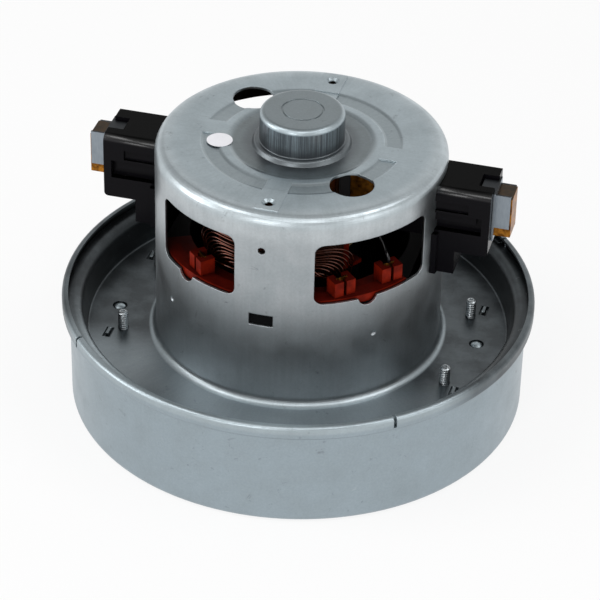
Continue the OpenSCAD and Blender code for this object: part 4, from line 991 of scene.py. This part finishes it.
class MOTOR_OT_stage(bpy.types.Operator):
    """Set the camera, the lamps, the pale floor and the sky"""

    bl_idname = "motor_unit.stage"
    bl_label = "Stage"

    # Name, place in metres, width and depth in metres, and power in watts
    lamps = (
        ("key", (0.19, -0.74, 1.1), (0.9, 0.42), 3.0),
        ("key left", (-0.65, -0.4, 1.1), (0.9, 0.42), 3.2),
        ("key right", (0.76, -0.05, 1.1), (0.9, 0.42), 3.2),
        ("front", (-0.2, -1.2, 0.4), (0.4, 0.4), 2.5),
        ("left", (-1.1, -0.4, 0.45), (0.7, 0.7), 4.0),
        ("right", (1.05, -0.45, 0.4), (0.7, 0.7), 1.4),
        ("back", (0.0, 1.1, 0.8), (1.5, 1.2), 1.4),
    )
    middle = Vector((0, 0, 0.05))

    def execute(self, context):
        scene = context.scene
        scene.view_settings.view_transform = "Standard"
        self.camera(scene)
        for name, place, size, power in self.lamps:
            lamp = bpy.data.lights.new(name, "AREA")
            lamp.shape = "ELLIPSE"
            lamp.size, lamp.size_y = size
            lamp.energy = power
            holder = bpy.data.objects.new(name + " lamp", lamp)
            holder.location = place
            aim = self.middle - Vector(place)
            holder.rotation_euler = aim.to_track_quat("-Z", "Y").to_euler()
            scene.collection.objects.link(holder)
        self.floor(scene)
        self.sky(scene)
        return {"FINISHED"}

    def camera(self, scene):
        """The photograph's view: the eye stays where it was measured, and looks at the picture's middle."""
        sizes = scene.motor_stage
        flat = sizes.distance * math.cos(sizes.elevation)
        eye = Vector((flat * math.sin(sizes.azimuth), -flat * math.cos(sizes.azimuth),
                      sizes.aim_z + sizes.distance * math.sin(sizes.elevation)))
        centre = Vector((sizes.aside * math.cos(sizes.azimuth), sizes.aside * math.sin(sizes.azimuth),
                         sizes.centre_z))
        look = (centre - eye).to_track_quat("-Z", "Y").to_matrix().to_4x4()
        view = bpy.data.cameras.new("photograph view")
        view.lens = sizes.lens
        view.sensor_width = 36
        view.clip_start, view.clip_end = 0.01, 50
        camera = bpy.data.objects.new("photograph view", view)
        camera.matrix_world = Matrix.Translation(eye) @ look @ Matrix.Rotation(sizes.roll, 4, "Z")
        scene.collection.objects.link(camera)
        scene.camera = camera

    def floor(self, scene):
        """A wide pale floor that looks white to the eye and in reflections, and keeps a soft shadow. From
        below it is clear, so that the air inlet can be seen."""
        # The floor lies just under the can, so that their faces don't meet
        half, low = 6.0, -0.05 * MM
        mesh = bpy.data.meshes.new("floor")
        corners = [(-half, -half, low), (half, -half, low), (half, half, low), (-half, half, low)]
        mesh.from_pydata(corners, [], [(0, 1, 2, 3)])
        floor = bpy.data.objects.new("floor", mesh)
        scene.collection.objects.link(floor)
        material = bpy.data.materials.new("pale paper floor")
        tree = empty_tree(material)
        paper = add(tree, "ShaderNodeBsdfDiffuse", {"Color": (0.85, 0.85, 0.85, 1)}).outputs[0]
        white = add(tree, "ShaderNodeEmission", {"Color": (1, 1, 1, 1), "Strength": 1.0}).outputs[0]
        # The rest of what the eye sees is paper, which keeps the shadow
        share = 0.84
        seen = add(tree, "ShaderNodeMath", {0: seen_ray(tree), 1: share}, operation="MULTIPLY").outputs[0]
        both = add(tree, "ShaderNodeMixShader", {0: seen, 1: paper, 2: white}).outputs[0]
        below = add(tree, "ShaderNodeNewGeometry").outputs["Backfacing"]
        clear = add(tree, "ShaderNodeBsdfTransparent").outputs[0]
        sheet = add(tree, "ShaderNodeMixShader", {0: below, 1: both, 2: clear}).outputs[0]
        add(tree, "ShaderNodeOutputMaterial", {"Surface": sheet})
        mesh.materials.append(material)

    def sky(self, scene):
        """A plain sky: soft light for every surface, white to the eye. Reflections meet a white backdrop all
        round, which goes over into a dimmer ceiling between about 12 and 30 degrees up."""
        world = bpy.data.worlds.new("plain sky")
        tree = empty_tree(world)
        way = add(tree, "ShaderNodeTexCoord").outputs["Generated"]
        rise = add(tree, "ShaderNodeSeparateXYZ", {0: way}).outputs[2]
        backdrop = {"Value": rise, "From Min": 0.2, "From Max": 0.5, "To Min": 1.0, "To Max": CEILING}
        level = add(tree, "ShaderNodeMapRange", backdrop, interpolation_type="SMOOTHSTEP").outputs[0]
        camera_ray = add(tree, "ShaderNodeLightPath").outputs["Is Camera Ray"]
        mirrored = {"Value": seen_ray(tree), "To Min": CEILING, "To Max": level}
        level = add(tree, "ShaderNodeMapRange", mirrored).outputs[0]
        direct = {"Value": camera_ray, "To Min": level, "To Max": 1.0}
        level = add(tree, "ShaderNodeMapRange", direct).outputs[0]
        sky = add(tree, "ShaderNodeBackground", {"Color": (1, 1, 1, 1), "Strength": level})
        add(tree, "ShaderNodeOutputWorld", {"Surface": sky.outputs[0]})
        scene.world = world


class MOTOR_PT_panel(bpy.types.Panel):
    """Sidebar panel that lists the steps"""

    bl_idname = "MOTOR_PT_panel"
    bl_label = "Vacuum motor unit"
    bl_space_type = "VIEW_3D"
    bl_region_type = "UI"
    bl_category = "Motor unit"

    def draw(self, context):
        for step in STEPS:
            self.layout.operator(step.bl_idname, text=step.bl_label)
        for name, group in GROUPS.items():
            box = self.layout.box()
            box.label(text=group.__doc__)
            for key in group.__annotations__:
                box.prop(getattr(context.scene, name), key)


GROUPS = {"motor_coils": CoilSizes, "motor_brushes": BrushSizes, "motor_screws": ScrewSizes,
          "motor_sticker": StickerSizes, "motor_colours": FinishColours, "motor_stage": StageSettings}
STEPS = (MOTOR_OT_stage, MOTOR_OT_finishes, MOTOR_OT_field_coils, MOTOR_OT_armature, MOTOR_OT_brush_gear,
         MOTOR_OT_screws, MOTOR_OT_sticker)
CLASSES = (*GROUPS.values(), *STEPS, MOTOR_PT_panel)


def register():
    """Add the classes to Blender, and their settings to the scene."""
    for kind in CLASSES:
        bpy.utils.register_class(kind)
    for name, group in GROUPS.items():
        setattr(bpy.types.Scene, name, bpy.props.PointerProperty(type=group))


def unregister():
    """Take the settings and the classes away again."""
    for name in GROUPS:
        delattr(bpy.types.Scene, name)
    for kind in reversed(CLASSES):
        bpy.utils.unregister_class(kind)


def main():
    """Register the classes, then run every step in order."""
    register()
    bpy.ops.motor_unit.stage()
    bpy.ops.motor_unit.finishes()
    bpy.ops.motor_unit.field_coils()
    bpy.ops.motor_unit.armature()
    bpy.ops.motor_unit.brush_gear()
    bpy.ops.motor_unit.screws()
    bpy.ops.motor_unit.sticker()


if __name__ == "__main__":
    main()
